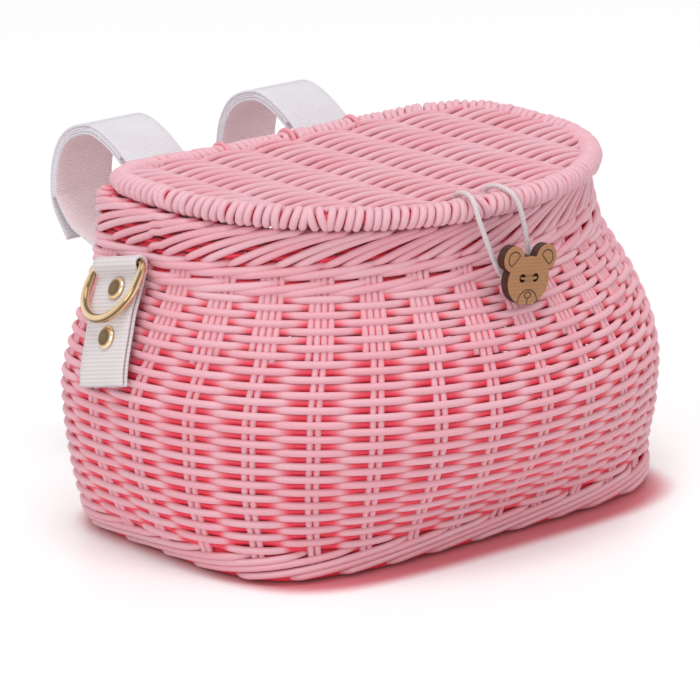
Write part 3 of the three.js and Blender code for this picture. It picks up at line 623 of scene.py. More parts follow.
# The uprights take a little painted shade all over, as they stand behind the weavers.
STAKE_SHADE = 0.42
STAKE_STEPS = 30
LEAN_LENGTH = 30
PAIR = (-0.064, 0.064)
ADDED_PAIR = (-0.192, 0.192)
ADDED_FOOT = (80, 86)
ADDED_STEPS = 10
uprights = Shape()


def rod(stake, z):
    path = body_place(stake, z, STAKE_DEPTH)
    tube(uprights, path, STAKE_RADIUS, up=(1, 0.3, 0), tone=rng.uniform(0, 1), deep=STAKE_SHADE)


for stake in range(STAKES):
    lean = jitter(0.04)
    for offset in PAIR:
        z = np.linspace(STAKE_FOOT, STAKE_TOP, STAKE_STEPS)
        rod(stake + offset + lean * np.sin(z / LEAN_LENGTH), z)
    for offset in ADDED_PAIR:
        z = np.linspace(rng.uniform(*ADDED_FOOT), STAKE_TOP, ADDED_STEPS)
        rod(stake + offset, z)
uprights.piece("wall_uprights", rattan, "basket", [])

# Rim: two rows of strands that climb past two uprights, and above them a rolled border, over a core

LIFT_START = -30.0
LIFT_REACH = 68.0
LIFT_HEIGHT = 3.0
LIFT_POWER = 1.4
SLANT = np.linspace(0, 1, 30)
TAPER = 0.12
BURIED_DEPTH = 5
TUCK_POWER = 1.5
CORE_RADIUS = 1.5
CORE_STEPS = 6


def lid_lift(x):
    """How far the lid's left end stands up from the flat."""
    share = np.clip((LIFT_START - x) / LIFT_REACH, 0, 1)
    return LIFT_HEIGHT * share ** LIFT_POWER


def slanted(shape, start, reach, z, depth, radius, lift=None):
    """A strand that climbs to the right from one place on the wall to another."""
    first = np.maximum(0, 1 - SLANT / TAPER)
    last = np.maximum(0, (SLANT - 1 + TAPER) / TAPER)
    radii = radius * (1 - TAPER * first - TAPER * last)
    path = body_place(start + reach * SLANT, z, depth)
    if lift:
        path[:, 2] += lift(path[:, 0]) * (1 - (1 - SLANT) ** 2)
    # Painted shade: where the strand goes in under the others it is painted deep red.
    buried = np.clip((depth - depth.min()) / BURIED_DEPTH, 0, 1)
    tube(shape, path, radii, tone=rng.uniform(0, 1), deep=hidden(1 - 2 * buried, OUTWARD))


def tucked(outer, first, last, start, end):
    """Depths of a strand that comes out, runs along the outside and goes in again."""
    lead = first * np.maximum(0, 1 - SLANT / start) ** TUCK_POWER
    trail = last * np.maximum(0, (SLANT - end) / (1 - end)) ** TUCK_POWER
    return outer + lead + trail


def core_ring(shape, height, depth, ripple, lift=0.0, lit=0.0):
    """A strand right round the body under the outer ones, painted deep red as painted shade. Lit takes that
    painted shade off its upper side, a painted lit top.
    """
    at = np.arange(STAKES * CORE_STEPS) / CORE_STEPS
    path = body_place(at, height, depth + ripple * np.cos(math.pi * at + height))
    path[:, 2] += lid_lift(path[:, 0]) * lift
    deep = hidden(-1.0, OUTWARD) * (1 - lit * np.maximum(UPWARD, 0))
    tube(shape, path, CORE_RADIUS, closed=True, tone=rng.uniform(0, 1), deep=deep)


WALE_HEIGHTS = (104.4, 110.3)
WALE_RADIUS = 1.65
WALE_REACH = 2.25
WALE_RISE = 4.6
WALE_DEPTHS = tucked(outer=1.6, first=3.0, last=4.0, start=0.3, end=0.72)
BORDER_STRANDS = 56
BORDER_RADIUS = 1.5
BORDER_REACH = 2.3
BORDER_Z = 113.8
BORDER_RISE = 12.2
BORDER_CURVE = 1.5
BORDER_STAGGER = 0.1
BORDER_DEPTHS = tucked(outer=1.5, first=2.6, last=5.0, start=0.14, end=0.88)
RIM_RIPPLE = 0.4
RIM_FOOT = 102
RIM_HEIGHT = 22
MOUTH_Z = 120
RIM_CORES = (
    (104.5, 5.2), (107.5, 4.9), (110.5, 4.9), (113.5, 4.6),
    (116.2, 4.6), (119.0, 4.8), (122.0, 5.0), (124.6, 5.0),
)
rim = Shape()
for height in WALE_HEIGHTS:
    for stake in range(STAKES):
        z = height + WALE_RISE * SLANT + jitter(0.25)
        begin = stake + jitter(0.1)
        slanted(rim, begin, WALE_REACH, z, WALE_DEPTHS, WALE_RADIUS)
for strand in range(BORDER_STRANDS):
    begin = strand * STAKES / BORDER_STRANDS - BORDER_STAGGER * (strand % 2) + jitter(0.03)
    z = BORDER_Z + BORDER_RISE * (1 - (1 - SLANT) ** BORDER_CURVE) + jitter(0.15)
    slanted(rim, begin, BORDER_REACH, z, BORDER_DEPTHS, BORDER_RADIUS, lid_lift)
for height, depth in RIM_CORES:
    core_ring(rim, height, depth, RIM_RIPPLE, (height - RIM_FOOT) / RIM_HEIGHT, float(height > MOUTH_Z))
rim.piece("rim_braid", rattan, "basket", ["rim_border"])

# Foot: strands that climb to the right out of the bottom edge, over a core

FOOT_RADIUS = 1.45
FOOT_REACH = 3.6
FOOT_START = 0.3
FOOT_Z = 1.5
FOOT_RISE = 9.4
FOOT_DEPTHS = tucked(outer=1.6, first=5.5, last=2.8, start=0.1, end=0.88)
FOOT_RIPPLE = -0.5
FOOT_CORES = (
    (1.7, 4.2), (4.3, 4.6), (7.2, 4.6), (10.0, 4.6), (2.0, 7.4), (4.8, 7.6), (1.7, 10.2),
)
foot = Shape()
for stake in range(STAKES):
    begin = stake + FOOT_START + jitter(0.08)
    z = FOOT_Z + FOOT_RISE * SLANT + jitter(0.15)
    slanted(foot, begin, FOOT_REACH, z, FOOT_DEPTHS, FOOT_RADIUS)
for height, depth in FOOT_CORES:
    core_ring(foot, height, depth, FOOT_RIPPLE)
foot.piece("foot_braid", rattan, "basket", ["foot_border"])

# Flat weaves: ribs from front to back, and packed weavers across them

RIB_SPACING = 24.0
RIB_XS = -84.0 + RIB_SPACING * np.arange(8)
RIB_RADIUS = 1.25
RIB_OFFSET = 1.3
RIB_SHADE = 0.6
RIB_STEPS = 40
FLAT_SHADE = 0.62
FLAT_STEPS = 72
FLAT_BOW = 0.25
BOW_LENGTH = 17
RISE_POWER = 0.85
NEAR = 1.5


def flat_weave(name, sizes, body, node, inset, middle, swing, pitch, radius, lift=None):
    edge = outline(sizes, WHOLE_TURN, inset, 0.0)
    low = edge[:, 1].min() + radius
    high = edge[:, 1].max() - radius
    count = int((high - low) / pitch)
    weave = Shape()
    for row in range(count + 1):
        y = low + (high - low) * row / count
        reach = np.abs(edge[np.abs(edge[:, 1] - y) < NEAR][:, 0]).max()
        x = np.linspace(-reach, reach, FLAT_STEPS)
        wave = np.cos(math.pi * ((x - RIB_XS[0]) / RIB_SPACING + row))
        rise = np.sign(wave) * np.abs(wave) ** RISE_POWER
        bow = y + FLAT_BOW * np.sin(x / BOW_LENGTH + rng.uniform(0, TURN)) * (0 < row < count)
        path = np.stack([x, bow, middle + swing * rise + (lift(x) if lift else 0)], axis=1)
        thickness = radius * rng.uniform(0.95, 1.03)
        # Painted shade on the faces of each weaver turned into the weave.
        tube(weave, path, thickness, tone=rng.uniform(0, 1), deep=FLAT_SHADE * hidden(rise, UPWARD))
    weave.piece(f"{name}_weavers", rattan, body, [node])
    ribs = Shape()
    for x in RIB_XS:
        near = edge[np.abs(edge[:, 0] - x) < NEAR]
        y = np.linspace(near[:, 1].min(), near[:, 1].max(), RIB_STEPS)
        z = middle + (lift(x) if lift else 0) + 0 * y
        for offset in (-RIB_OFFSET, RIB_OFFSET):
            path = np.stack([x + offset + 0 * y, y, z], axis=1)
            # The ribs take painted shade all over, as they lie under the weavers.
            tube(ribs, path, RIB_RADIUS, tone=rng.uniform(0, 1), deep=RIB_SHADE)
    ribs.piece(f"{name}_ribs", rattan, body, [])


LID_MIDDLE = 131.75
PANEL_RISE = 0.6
flat_weave(
    "lid", LID, "lid", "lid_panel",
    inset=5.5, middle=LID_MIDDLE + PANEL_RISE, swing=1.6, pitch=3.05, radius=1.52, lift=lid_lift,
)
flat_weave(
    "base", body_sizes(0.0), "basket", "basket_base",
    inset=11.0, middle=3.4, swing=1.9, pitch=2.6, radius=1.35,
)

# Lid rim: a core, bound over and over

WRAPS = 158
WRAP_STEPS = 16
WRAP_RADIUS = 1.6
WRAP_REACH = 3.0
WRAP_LEAN = 0.0013
CROSSED_EVERY = 19
CROSSED_LEAN = -1.8
LID_CORE_RADIUS = 1.9
LID_CORE_STEPS = 200
binding = Shape()
lap = np.linspace(0, TURN, WRAP_STEPS, endpoint=False)
for wrap in range(WRAPS):
    lean = WRAP_LEAN + jitter(0.0009)
    if wrap % CROSSED_EVERY < 2:
        lean *= CROSSED_LEAN
    middle = (wrap + jitter(0.1)) / WRAPS
    reach = WRAP_REACH + rng.uniform(-0.2, 0.25)
    z = LID_MIDDLE + reach * np.sin(lap)
    path = lid_place(middle + lean * np.sin(lap), z, LID_RADIUS - reach * np.cos(lap))
    centre = lid_place(np.full(WRAP_STEPS, middle), LID_MIDDLE, LID_RADIUS)
    outward = unit(path - centre)
    path[:, 2] += lid_lift(centre[0, 0])
    tone = rng.uniform(-0.6, 0.3)
    # Painted shade on the side of each wrap that faces the core.
    tube(binding, path, WRAP_RADIUS, closed=True, up=outward, tone=tone, deep=hidden(1.0, UPWARD))
lid_core = lid_place(np.arange(LID_CORE_STEPS) / LID_CORE_STEPS, LID_MIDDLE, LID_RADIUS)
lid_core[:, 2] += lid_lift(lid_core[:, 0])
# The core under the wraps is painted deep red all over, as painted shade.
tube(binding, lid_core, LID_CORE_RADIUS, closed=True, deep=1.0)
binding.piece("lid_binding", rattan, "lid", ["lid_rim"])

# Hinge ties

LID_HINGE = (51.75, 131.75)
BORDER_HINGE = (57.5, 122.1)
LID_TIE_RADIUS = 4.9
BORDER_TIE_RADIUS = 6.4
TIE_RADIUS = 1.0
TIE_SIDES = 12
TIE_STEPS = 60
TIE_TONE = 0.9
TIE_SHADE = 0.5
TIE_XS = (-33.0, 0.0, 33.0)
HALF_STEPS = 14


def half_ring(centre, radius, start):
    angle = start + np.linspace(0, math.pi, HALF_STEPS)
    return np.stack([centre[0] + radius * np.cos(angle), centre[1] + radius * np.sin(angle)], axis=1)


down = math.atan2(BORDER_HINGE[1] - LID_HINGE[1], BORDER_HINGE[0] - LID_HINGE[0])
tie_line = np.concatenate([
    half_ring(BORDER_HINGE, BORDER_TIE_RADIUS, down - math.pi / 2),
    half_ring(LID_HINGE, LID_TIE_RADIUS, down + math.pi / 2),
])
for number, x in enumerate(TIE_XS, 1):
    path = smooth_path(np.insert(tie_line, 0, x, axis=1), TIE_STEPS, closed=True)
    tie = Shape()
    # The ties take a little painted shade all over.
    tube(tie, path, TIE_RADIUS, TIE_SIDES, closed=True, up=(1, 0, 0), tone=TIE_TONE, deep=TIE_SHADE)
    tie.piece(f"hinge_tie_{number}", rattan, "basket", [f"hinge_loop_{number}"])

# Webbing: flat strips with soft edges

ACROSS = np.linspace(1, -1, 9)
CORNER_ACROSS = 0.25
CORNER_OUT = 0.6


def strip(shape, line, width, thickness, move, painted_bounce=0.0):
    """A ribbon along a line of two coordinates, as wide as said along the third. Move puts it in place. The
    last value paints pink bounce light on one face, as painted light.
    """
    along = directions(line, False)
    normal = np.stack([-along[:, 1], along[:, 0]], axis=1)
    half = np.broadcast_to(np.asarray(thickness, dtype=float) / 2, (len(line),))
    edge = width / 2
    soft = half.min()
    ring = []
    for sign in (1, -1):
        ring.extend((sign * (edge - soft) * share, sign) for share in ACROSS)
        ring.append((-sign * (edge - CORNER_ACROSS * soft), sign * CORNER_OUT))
        ring.append((-sign * edge, 0.0))
        ring.append((-sign * (edge - CORNER_ACROSS * soft), -sign * CORNER_OUT))
    ring = np.array(ring)
    places = line[:, None] + normal[:, None] * ring[None, :, 1:2] * half[:, None, None]
    across = np.broadcast_to(ring[None, :, 0], places.shape[:2])
    points = move(across, places[..., 0], places[..., 1])
    length = np.broadcast_to(arc(line)[:, None] * MM, across.shape)
    deep = painted_bounce * (ring[:, 1] > 0.9)
    shape.add(points, capped_faces(len(line), len(ring)), along=length, across=across * MM, deep=deep)


def spline(points, steps, first=0.0, last=1.0):
    """A plain spline through points, by share of its spans, as the frame's straps use."""
    points = np.asarray(points, dtype=float)
    at = np.linspace(first, last, steps) * (len(points) - 1)
    i = np.clip(at.astype(int), 0, len(points) - 2)
    w = (at - i)[:, None]
    p0 = points[np.maximum(i - 1, 0)]
    p1 = points[i]
    p2 = points[i + 1]
    p3 = points[np.minimum(i + 2, len(points) - 1)]
    start = (p2 - p0) / 2
    finish = (p3 - p1) / 2
    cubed = (2 * p1 - 2 * p2 + start + finish) * w ** 3
    squared = (-3 * p1 + 3 * p2 - 2 * start - finish) * w ** 2
    return cubed + squared + start * w + p1


BACK_Y = 62
WALL_THICKNESS = 7
UPPER_SLOT_Z = 111.5
LOWER_SLOT_Z = 77
WEBBING_WIDTH = 28
WEBBING_THICKNESS = 1.2
TAPE_WIDTH = WEBBING_WIDTH - 0.2
TAPE_THICKNESS = 0.5
GAP = 0.3
STRAP_X = 42.2
STRAP_ROUTE = np.array([
    [1, 0.7], [7, 6.2], [16, 14.6], [28, 22.4], [40, 26.6], [50, 25.2], [59, 20.3], [65, 11.4], [67.4, 0],
    [66, -11], [57.5, -22.8],
]) + np.array([BACK_Y, UPPER_SLOT_Z])
ROUTE_STEPS = 400


def route(first, last, inward, steps):
    """Part of the strap's route, between two shares of it, moved inward."""
    low, high = min(first, last), max(first, last)
    line = spline(STRAP_ROUTE, ROUTE_STEPS)
    along = directions(line, False)
    moved = line + np.stack([along[:, 1], -along[:, 0]], axis=1) * inward
    begin = int(round(low * (ROUTE_STEPS - 1)))
    end = int(round(high * (ROUTE_STEPS - 1))) + 1
    part = respaced(moved[begin:end], steps)
    return part if first < last else part[::-1]


HALF = WEBBING_THICKNESS / 2
INSIDE_Y = BACK_Y - WALL_THICKNESS - GAP - HALF
CORNER = 0.6
CORNER_Z = 0.7
HOOK_DEPTH = WEBBING_THICKNESS
INNER_DEPTH = WEBBING_THICKNESS + 2 * TAPE_THICKNESS + 3 * GAP
PILE_DEPTH = (HOOK_DEPTH + INNER_DEPTH) / 2
FILL = PILE_DEPTH - HOOK_DEPTH
under = route(0.86, 0.24, INNER_DEPTH + HALF, 40)
LOWER_ROUTE = [
    [BACK_Y + HALF, LOWER_SLOT_Z], [BACK_Y + 44, LOWER_SLOT_Z + 14], [BACK_Y + 55.5, LOWER_SLOT_Z + 18.6],
    under[0], under[6],
]
fixed_line = np.concatenate([
    route(0.428, 0.0, HALF, 40),
    [[BACK_Y - HALF, UPPER_SLOT_Z], [INSIDE_Y + CORNER, UPPER_SLOT_Z], [INSIDE_Y, UPPER_SLOT_Z - CORNER_Z]],
    [[INSIDE_Y, z] for z in np.linspace(UPPER_SLOT_Z - 4, LOWER_SLOT_Z + 4, 8)],
    [[INSIDE_Y, LOWER_SLOT_Z + CORNER_Z], [INSIDE_Y + CORNER, LOWER_SLOT_Z], [BACK_Y + HALF, LOWER_SLOT_Z]],
    spline(LOWER_ROUTE, 30, 0.08, 0.74),
    under,
])
flap_line = route(0.432, 1.0, HALF, 60)
hook_line = route(0.436, 0.87, HOOK_DEPTH + FILL / 2, 40)
upper_pile = route(0.25, 0.426, PILE_DEPTH, 24)
lower_pile = route(0.44, 0.87, PILE_DEPTH + FILL / 2, 40)
pile_line = np.concatenate([upper_pile, lower_pile])
pile_thickness = np.repeat([2 * FILL, FILL], [len(upper_pile), len(lower_pile)])

for side, x in (("left", -STRAP_X), ("right", STRAP_X)):
    def at_strap(across, y, z, x=x):
        return np.stack([x + across, y, z], axis=-1)

    def layer(name, line, width, thickness, material, body, node, painted_bounce=0.0):
        made = Shape()
        strip(made, line, width, thickness, at_strap, painted_bounce)
        made.piece(f"{name}_{side}", material, body, [f"{node}_{side}"])

    flap = f"flap_{side}"
    layer(
        "strap_webbing", fixed_line, WEBBING_WIDTH, WEBBING_THICKNESS, webbing,
        "basket", "strap", painted_bounce=1.0,
    )
    layer(
        "flap_webbing", flap_line, WEBBING_WIDTH, WEBBING_THICKNESS, webbing,
        flap, "strap_flap",
    )
    layer("hook_strip", hook_line, TAPE_WIDTH, FILL, tape, flap, "hook_tape")
    layer("loop_strip", pile_line, TAPE_WIDTH, pile_thickness, tape, "basket", "loop_tape")


# Side tabs, rings and rivets, reckoned for the side at +X and mirrored

def side_x(y, z, inset):
    half, front, back, widest, bow, heel = body_sizes(z)
    ahead = y < widest
    power = bow if ahead else heel
    reach = front + widest - inset if ahead else (back - widest - inset) * BACK_FLATNESS
    return (half - inset) * (1 - (abs(y - widest) / reach) ** power) ** (1 / power)


TAB_LAYER = 1.4
TAB_HALF = TAB_LAYER / 2
TAB_GAP = 0.6
TAB_NECK = 4.2
TAB_WIDTH = 26
TAB_FOOT = (10, 66.5)
TAB_HEAD = (20, 107.4)
tab_foot = np.array([side_x(*TAB_FOOT, 0), *TAB_FOOT])
tab_head = np.array([side_x(*TAB_HEAD, 0), *TAB_HEAD])
tab_length = float(np.linalg.norm(tab_head - tab_foot))
tab_up = unit(tab_head - tab_foot)
tab_out = unit(np.array([1.0, 0, 0]) - tab_up * tab_up[0])
tab_across = np.cross(tab_up, tab_out)


def from_tab(across, out, up):
    sideways = np.asarray(across)[..., None] * tab_across
    return tab_foot + np.asarray(out)[..., None] * tab_out + sideways + np.asarray(up)[..., None] * tab_up


def wall_out(up, across):
    """How far out the wall stands at a place on the tab, found step by step."""
    out = 0.0
    for _ in range(12):
        p = from_tab(across, out, up)
        out += (side_x(p[1], p[2], 0) - p[0]) * tab_out[0]
    return out


def tab_back(up):
    return max(wall_out(up, across) for across in np.linspace(-TAB_WIDTH / 2, TAB_WIDTH / 2, 5)) + GAP


def tab_face(up):
    return tab_back(up) + 2 * TAB_LAYER + TAB_GAP


RING_WIRE = 3.2
RING_HALF_WIDTH = 14.9
RING_ARM = 7.5
EYE_ROOM = 0.4
LINE_STEPS = 120
EYE_RADIUS = RING_WIRE / 2 + EYE_ROOM + TAB_HALF
eye_out = tab_back(tab_length) + TAB_HALF + EYE_RADIUS
lead = math.atan2(eye_out + EYE_RADIUS - tab_face(tab_length - TAB_NECK) + TAB_HALF, TAB_NECK)
tab_line = [(tab_face(up) - TAB_HALF, up) for up in np.linspace(0, tab_length - TAB_NECK, 12)]
for angle in np.linspace(-lead, math.pi, 16):
    tab_line.append((eye_out + EYE_RADIUS * math.cos(angle), tab_length + EYE_RADIUS * math.sin(angle)))
tab_line += [(tab_back(up) + TAB_HALF, up) for up in np.linspace(tab_length - 2, 0, 16)]
tab_line = smooth_path(tab_line, LINE_STEPS)

CAP_HEIGHT = 1.9
UPPER_RIVET = tab_length - 9.2
LOWER_RIVET = tab_length - 28
RING_CORNER = [(RING_HALF_WIDTH - 0.8, -0.8), (RING_HALF_WIDTH, -3.2)]
ring_drop = RING_ARM + RING_HALF_WIDTH
ring_rest = tab_face(LOWER_RIVET) + 2 * GAP + CAP_HEIGHT + RING_WIRE / 2
ring_tilt = math.asin((ring_rest - eye_out) / ring_drop)
bar = TAB_WIDTH / 2 + GAP
ring_line = [(step, 0) for step in np.linspace(-bar, bar, 5)] + RING_CORNER
for angle in np.linspace(0, math.pi, 24):
    ring_line.append((RING_HALF_WIDTH * math.cos(angle), -RING_ARM - RING_HALF_WIDTH * math.sin(angle)))
ring_line += [(-across, up) for across, up in RING_CORNER[::-1]]
ring_line = smooth_path(ring_line, LINE_STEPS, closed=True)
ring_path = from_tab(
    ring_line[:, 0],
    eye_out - ring_line[:, 1] * math.sin(ring_tilt),
    tab_length + ring_line[:, 1] * math.cos(ring_tilt),
)
BAR_THINNER = 0.05
BOW_THICKER = 0.2
BAR_END = 4
RING_SIDES = 24
bow_share = np.clip((-ring_line[:, 1] - BAR_END) / BAR_END, 0, 1)
ring_radius = RING_WIRE / 2 - BAR_THINNER + BOW_THICKER * bow_share
# Painted reflection: two dark streaks along the ring's wire.
PAINTED_REFLECTION_STREAKS = (0.7, 2.5)
STREAK_POWER = 14
ring_turn = TURN * np.arange(RING_SIDES) / RING_SIDES
ring_painted_reflection = sum(np.maximum(np.cos(ring_turn - streak), 0) ** STREAK_POWER for streak in PAINTED_REFLECTION_STREAKS)

RIVET_ACROSS = -1.2
RIVET_SHANK = 1.5
RIVET_PROFILE = [
    (0.0, 1.75), (1.4, 1.72), (2.6, 1.62), (3.2, 1.5), (3.6, 1.42),
    (4.1, 1.1), (4.45, 0.65), (4.5, 0.35), (4.35, 0.3), (RIVET_SHANK, 0.3),
]
# Painted reflection: the rivet cap darkens towards its middle, with a bright rim.
RIVET_PAINTED_REFLECTION = [0.84, 0.86, 0.9, 0.7, 0.15, 0.0, 0.0, 0.1, 0.3]
WASHER_PROFILE = [(1.8, 0.0), (4.5, 0.0), (4.5, -0.8), (3.9, -1.4), (1.8, -1.4), (1.8, 0.0)]
WASHER_FRONT = -0.6
SHANK_END = -2.0
SEAT_DEPTH = 1.3
ROUND_SIDES = 40


def turned(shape, profile, place, painted_reflection=()):
    """A round piece: radii and heights, with its axis set by place, and how much painted reflection darkens
    each ring.
    """
    turn = TURN * np.arange(ROUND_SIDES) / ROUND_SIDES
    rings = np.array(profile)
    radii = rings[:, 0][:, None]
    points = place(radii * np.cos(turn), radii * np.sin(turn), rings[:, 1][:, None] + 0 * turn)
    deep = np.zeros((len(rings), 1))
    deep[:len(painted_reflection), 0] = painted_reflection
    shape.add(points, grid_faces(len(rings), ROUND_SIDES, False), deep=deep)


for side, mirror in (("left", -1), ("right", 1)):
    tab = Shape()
    strip(tab, tab_line, TAB_WIDTH, TAB_LAYER, from_tab)
    tab.piece(f"tab_webbing_{side}", tab_webbing, "basket", [f"tab_{side}"], mirror)
    ring = Shape()
    tube(ring, ring_path, ring_radius, RING_SIDES, closed=True, up=tab_out, deep=ring_painted_reflection)
    ring.piece(f"gold_ring_{side}", gold, f"ring_{side}", [f"d_ring_{side}"], mirror)
    for level, height in (("upper", UPPER_RIVET), ("lower", LOWER_RIVET)):
        slope = math.atan((tab_face(height + 1) - tab_face(height - 1)) / 2)
        ahead = math.cos(slope)
        rise = math.sin(slope)

        def on_rivet(a, b, h, base=tab_face(height), height=height):
            return from_tab(a + RIVET_ACROSS, base + h * ahead + b * rise, height + b * ahead - h * rise)

        seat = np.mean(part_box(f"rivet_back_right_{level}"), axis=0) / MM
        foot_point = on_rivet(0.0, 0.0, 0.0)
        axis = on_rivet(0.0, 0.0, 1.0) - foot_point
        depth = float((foot_point - seat) @ axis) - SEAT_DEPTH
        shank = [(RIVET_SHANK, SHANK_END - depth), (0.0, SHANK_END - depth)]
        cap = Shape()
        turned(cap, RIVET_PROFILE + shank, on_rivet, RIVET_PAINTED_REFLECTION)
        cap.piece(f"gold_rivet_{side}_{level}", gold, "basket", [f"rivet_{side}_{level}"], mirror)
        washer = Shape()
        turned(washer, [(radius, WASHER_FRONT - depth + h) for radius, h in WASHER_PROFILE], on_rivet)
        node = f"rivet_back_{side}_{level}"
        washer.piece(f"gold_washer_{side}_{level}", gold, "basket", [node], mirror)


# Button: a bear's face cut from thin wood

HEAD_Z = 105.5
HEAD_HALF_WIDTH = 10.3
HEAD_HALF_HEIGHT = 9.2
EAR_X = 8.2
EAR_Z = 8.4
EAR_RADIUS = 5.0
BUTTON_BACK = -82.02
BUTTON_FACE = -86.02
BUTTON_MIDDLE = -84.0
EDGE_ROUND = 0.25
FACE_SHARE = 0.975
HOLES_UP = 1.1
HOLE_X = 3.3
HOLE_RADIUS = 1.65
HOLE_SIDES = 28
CUTTER_LENGTH = 12
SMOOTH_UNDER = math.radians(30)
BUTTON_TILT = math.radians(7)
TILT_COS = math.cos(BUTTON_TILT)
TILT_SIN = math.sin(BUTTON_TILT)


def tilted(points):
    """Points of the button's face turned a little clockwise about the middle of its holes."""
    middle = np.array([0, HOLES_UP])
    return (points - middle) @ np.array([[TILT_COS, -TILT_SIN], [TILT_SIN, TILT_COS]]) + middle


def button_outline(angle):
    direction = np.array([math.cos(angle), math.sin(angle)])
    reach = 1 / math.hypot(direction[0] / HEAD_HALF_WIDTH, direction[1] / HEAD_HALF_HEIGHT)
    ear = np.array([math.copysign(EAR_X, direction[0]), EAR_Z])
    middle = float(direction @ ear)
    half_chord = EAR_RADIUS ** 2 - (float(ear @ ear) - middle ** 2)
    if middle > 0 and half_chord > 0 and middle - math.sqrt(half_chord) < reach:
        reach = max(reach, middle + math.sqrt(half_chord))
    return direction * reach


WOOD_PALE = (0.43, 0.20, 0.082, 1)
WOOD_SHADE = (0.34, 0.15, 0.056, 1)
BURNT = (0.055, 0.02, 0.008, 1)
EDGE_DARK = (0.035, 0.010, 0.006, 1)
EDGE_PALE = (0.06, 0.018, 0.01, 1)
EAR_MARK_RADIUS = 2.9
EAR_MARK_CUT = -1.5
MUZZLE_Z = -8.3
MUZZLE_RADIUS = 4.9
NOSE_Z = -5.4
NOSE_RADIUS = 1.15
NOSE_WIDTH = 1.35
EAR_LINE = 0.36
MUZZLE_LINE = 0.34
NOSE_LINE = 0.32
EAR_CUT_FADE = (-1.6, -1.2)
EAR_FADE = (2.8, 3.0)
DIAGONAL = 0.707
MOUTH = (-9.2, -6.6)
FADE = 0.15


def wood_finish():
    finish = Finish("bear_wood")
    x, y, z = finish.axes()
    turned_x = x * 1000
    turned_z = z * 1000 - HEAD_Z - HOLES_UP
    x = turned_x * TILT_COS - turned_z * TILT_SIN
    z = turned_x * TILT_SIN + turned_z * TILT_COS + HOLES_UP
    grain = finish.noise(scale=1.0, detail=5, at=finish.stretched(60, 60, 900))
    line = (z * 4.4 + grain * 6).wave()
    plain = finish.mix((line * 0.3 + grain * 0.6).ramp(0.2, 0.9), WOOD_PALE, WOOD_SHADE)

    def distance(dx, dz):
        return (dx * dx + dz * dz).root()

    def drawn(away, width):
        """One on a line of the drawing, and nought away from it."""
        return 1 - away.size().ramp(width / 2, width)

    def within(value, low, high):
        return value.ramp(low - FADE, low + FADE) * (1 - value.ramp(high - FADE, high + FADE))

    ear_x = x.size() - EAR_X
    ear_z = z - EAR_Z
    from_ear = distance(ear_x, ear_z)
    ear_mark = drawn(from_ear - EAR_MARK_RADIUS, EAR_LINE) * (ear_x + ear_z).ramp(*EAR_CUT_FADE)
    from_chord = (ear_x + ear_z - EAR_MARK_CUT) * DIAGONAL
    ear_chord = drawn(from_chord, EAR_LINE) * (1 - from_ear.ramp(*EAR_FADE))
    from_muzzle = distance(x, z - MUZZLE_Z) - MUZZLE_RADIUS
    muzzle = drawn(from_muzzle, MUZZLE_LINE) * within(z, MUZZLE_Z, 0.0)
    nose = drawn(distance(x / NOSE_WIDTH, z - NOSE_Z) - NOSE_RADIUS, NOSE_LINE)
    mouth = drawn(x, NOSE_LINE) * within(z, *MOUTH)
    front = 1 - (y * 1000).ramp(BUTTON_FACE + 0.2, BUTTON_FACE + 0.5)
    burn = ear_mark.highest(ear_chord).highest(muzzle).highest(nose).highest(mouth) * front
    edge = finish.mix(grain.ramp(0.3, 0.7), EDGE_DARK, EDGE_PALE)
    return finish.set(
        Base_Color=finish.mix(front, edge, finish.mix(burn, plain, BURNT)),
        Roughness=0.5 + grain * 0.2,
        Normal=finish.bump(line * 0.3 + grain * 0.3 - burn * 3, depth=0.0002, strength=0.5),
    )


def select_only(chosen):
    bpy.ops.object.select_all(action="DESELECT")
    chosen.select_set(True)
    bpy.context.view_layer.objects.active = chosen


BUTTON_POINTS = 160
cut = np.array([button_outline(TURN * k / BUTTON_POINTS + 0.001) for k in range(BUTTON_POINTS)])
face = tilted(cut)
inner = tilted(cut * FACE_SHARE)
plate_rings = ((face, BUTTON_BACK), (face, BUTTON_FACE + EDGE_ROUND), (inner, BUTTON_FACE))
plate = Shape()
plate.add(
    np.array([[(x, y, HEAD_Z + z) for x, z in ring] for ring, y in plate_rings]),
    capped_faces(len(plate_rings), BUTTON_POINTS),
)
button = plate.piece("wooden_bear", wood_finish(), "button", ["button"])
select_only(button)
bpy.ops.object.mode_set(mode="EDIT")
bpy.ops.mesh.select_all(action="SELECT")
bpy.ops.mesh.normals_make_consistent(inside=False)
bpy.ops.object.mode_set(mode="OBJECT")
for x, z in tilted(np.array([(-HOLE_X, HOLES_UP), (HOLE_X, HOLES_UP)])):
    bpy.ops.mesh.primitive_cylinder_add(
        vertices=HOLE_SIDES, radius=HOLE_RADIUS * MM, depth=CUTTER_LENGTH * MM,
        location=(x * MM, BUTTON_MIDDLE * MM, (HEAD_Z + z) * MM), rotation=(math.pi / 2, 0, 0),
    )
    cutter = bpy.context.object
    bpy.context.view_layer.objects.active = button
    hole = button.modifiers.new("hole", "BOOLEAN")
    hole.operation = "DIFFERENCE"
    hole.object = cutter
    bpy.ops.object.modifier_apply(modifier="hole")
    bpy.data.objects.remove(cutter)
select_only(button)
bpy.ops.object.shade_smooth_by_angle(angle=SMOOTH_UNDER)

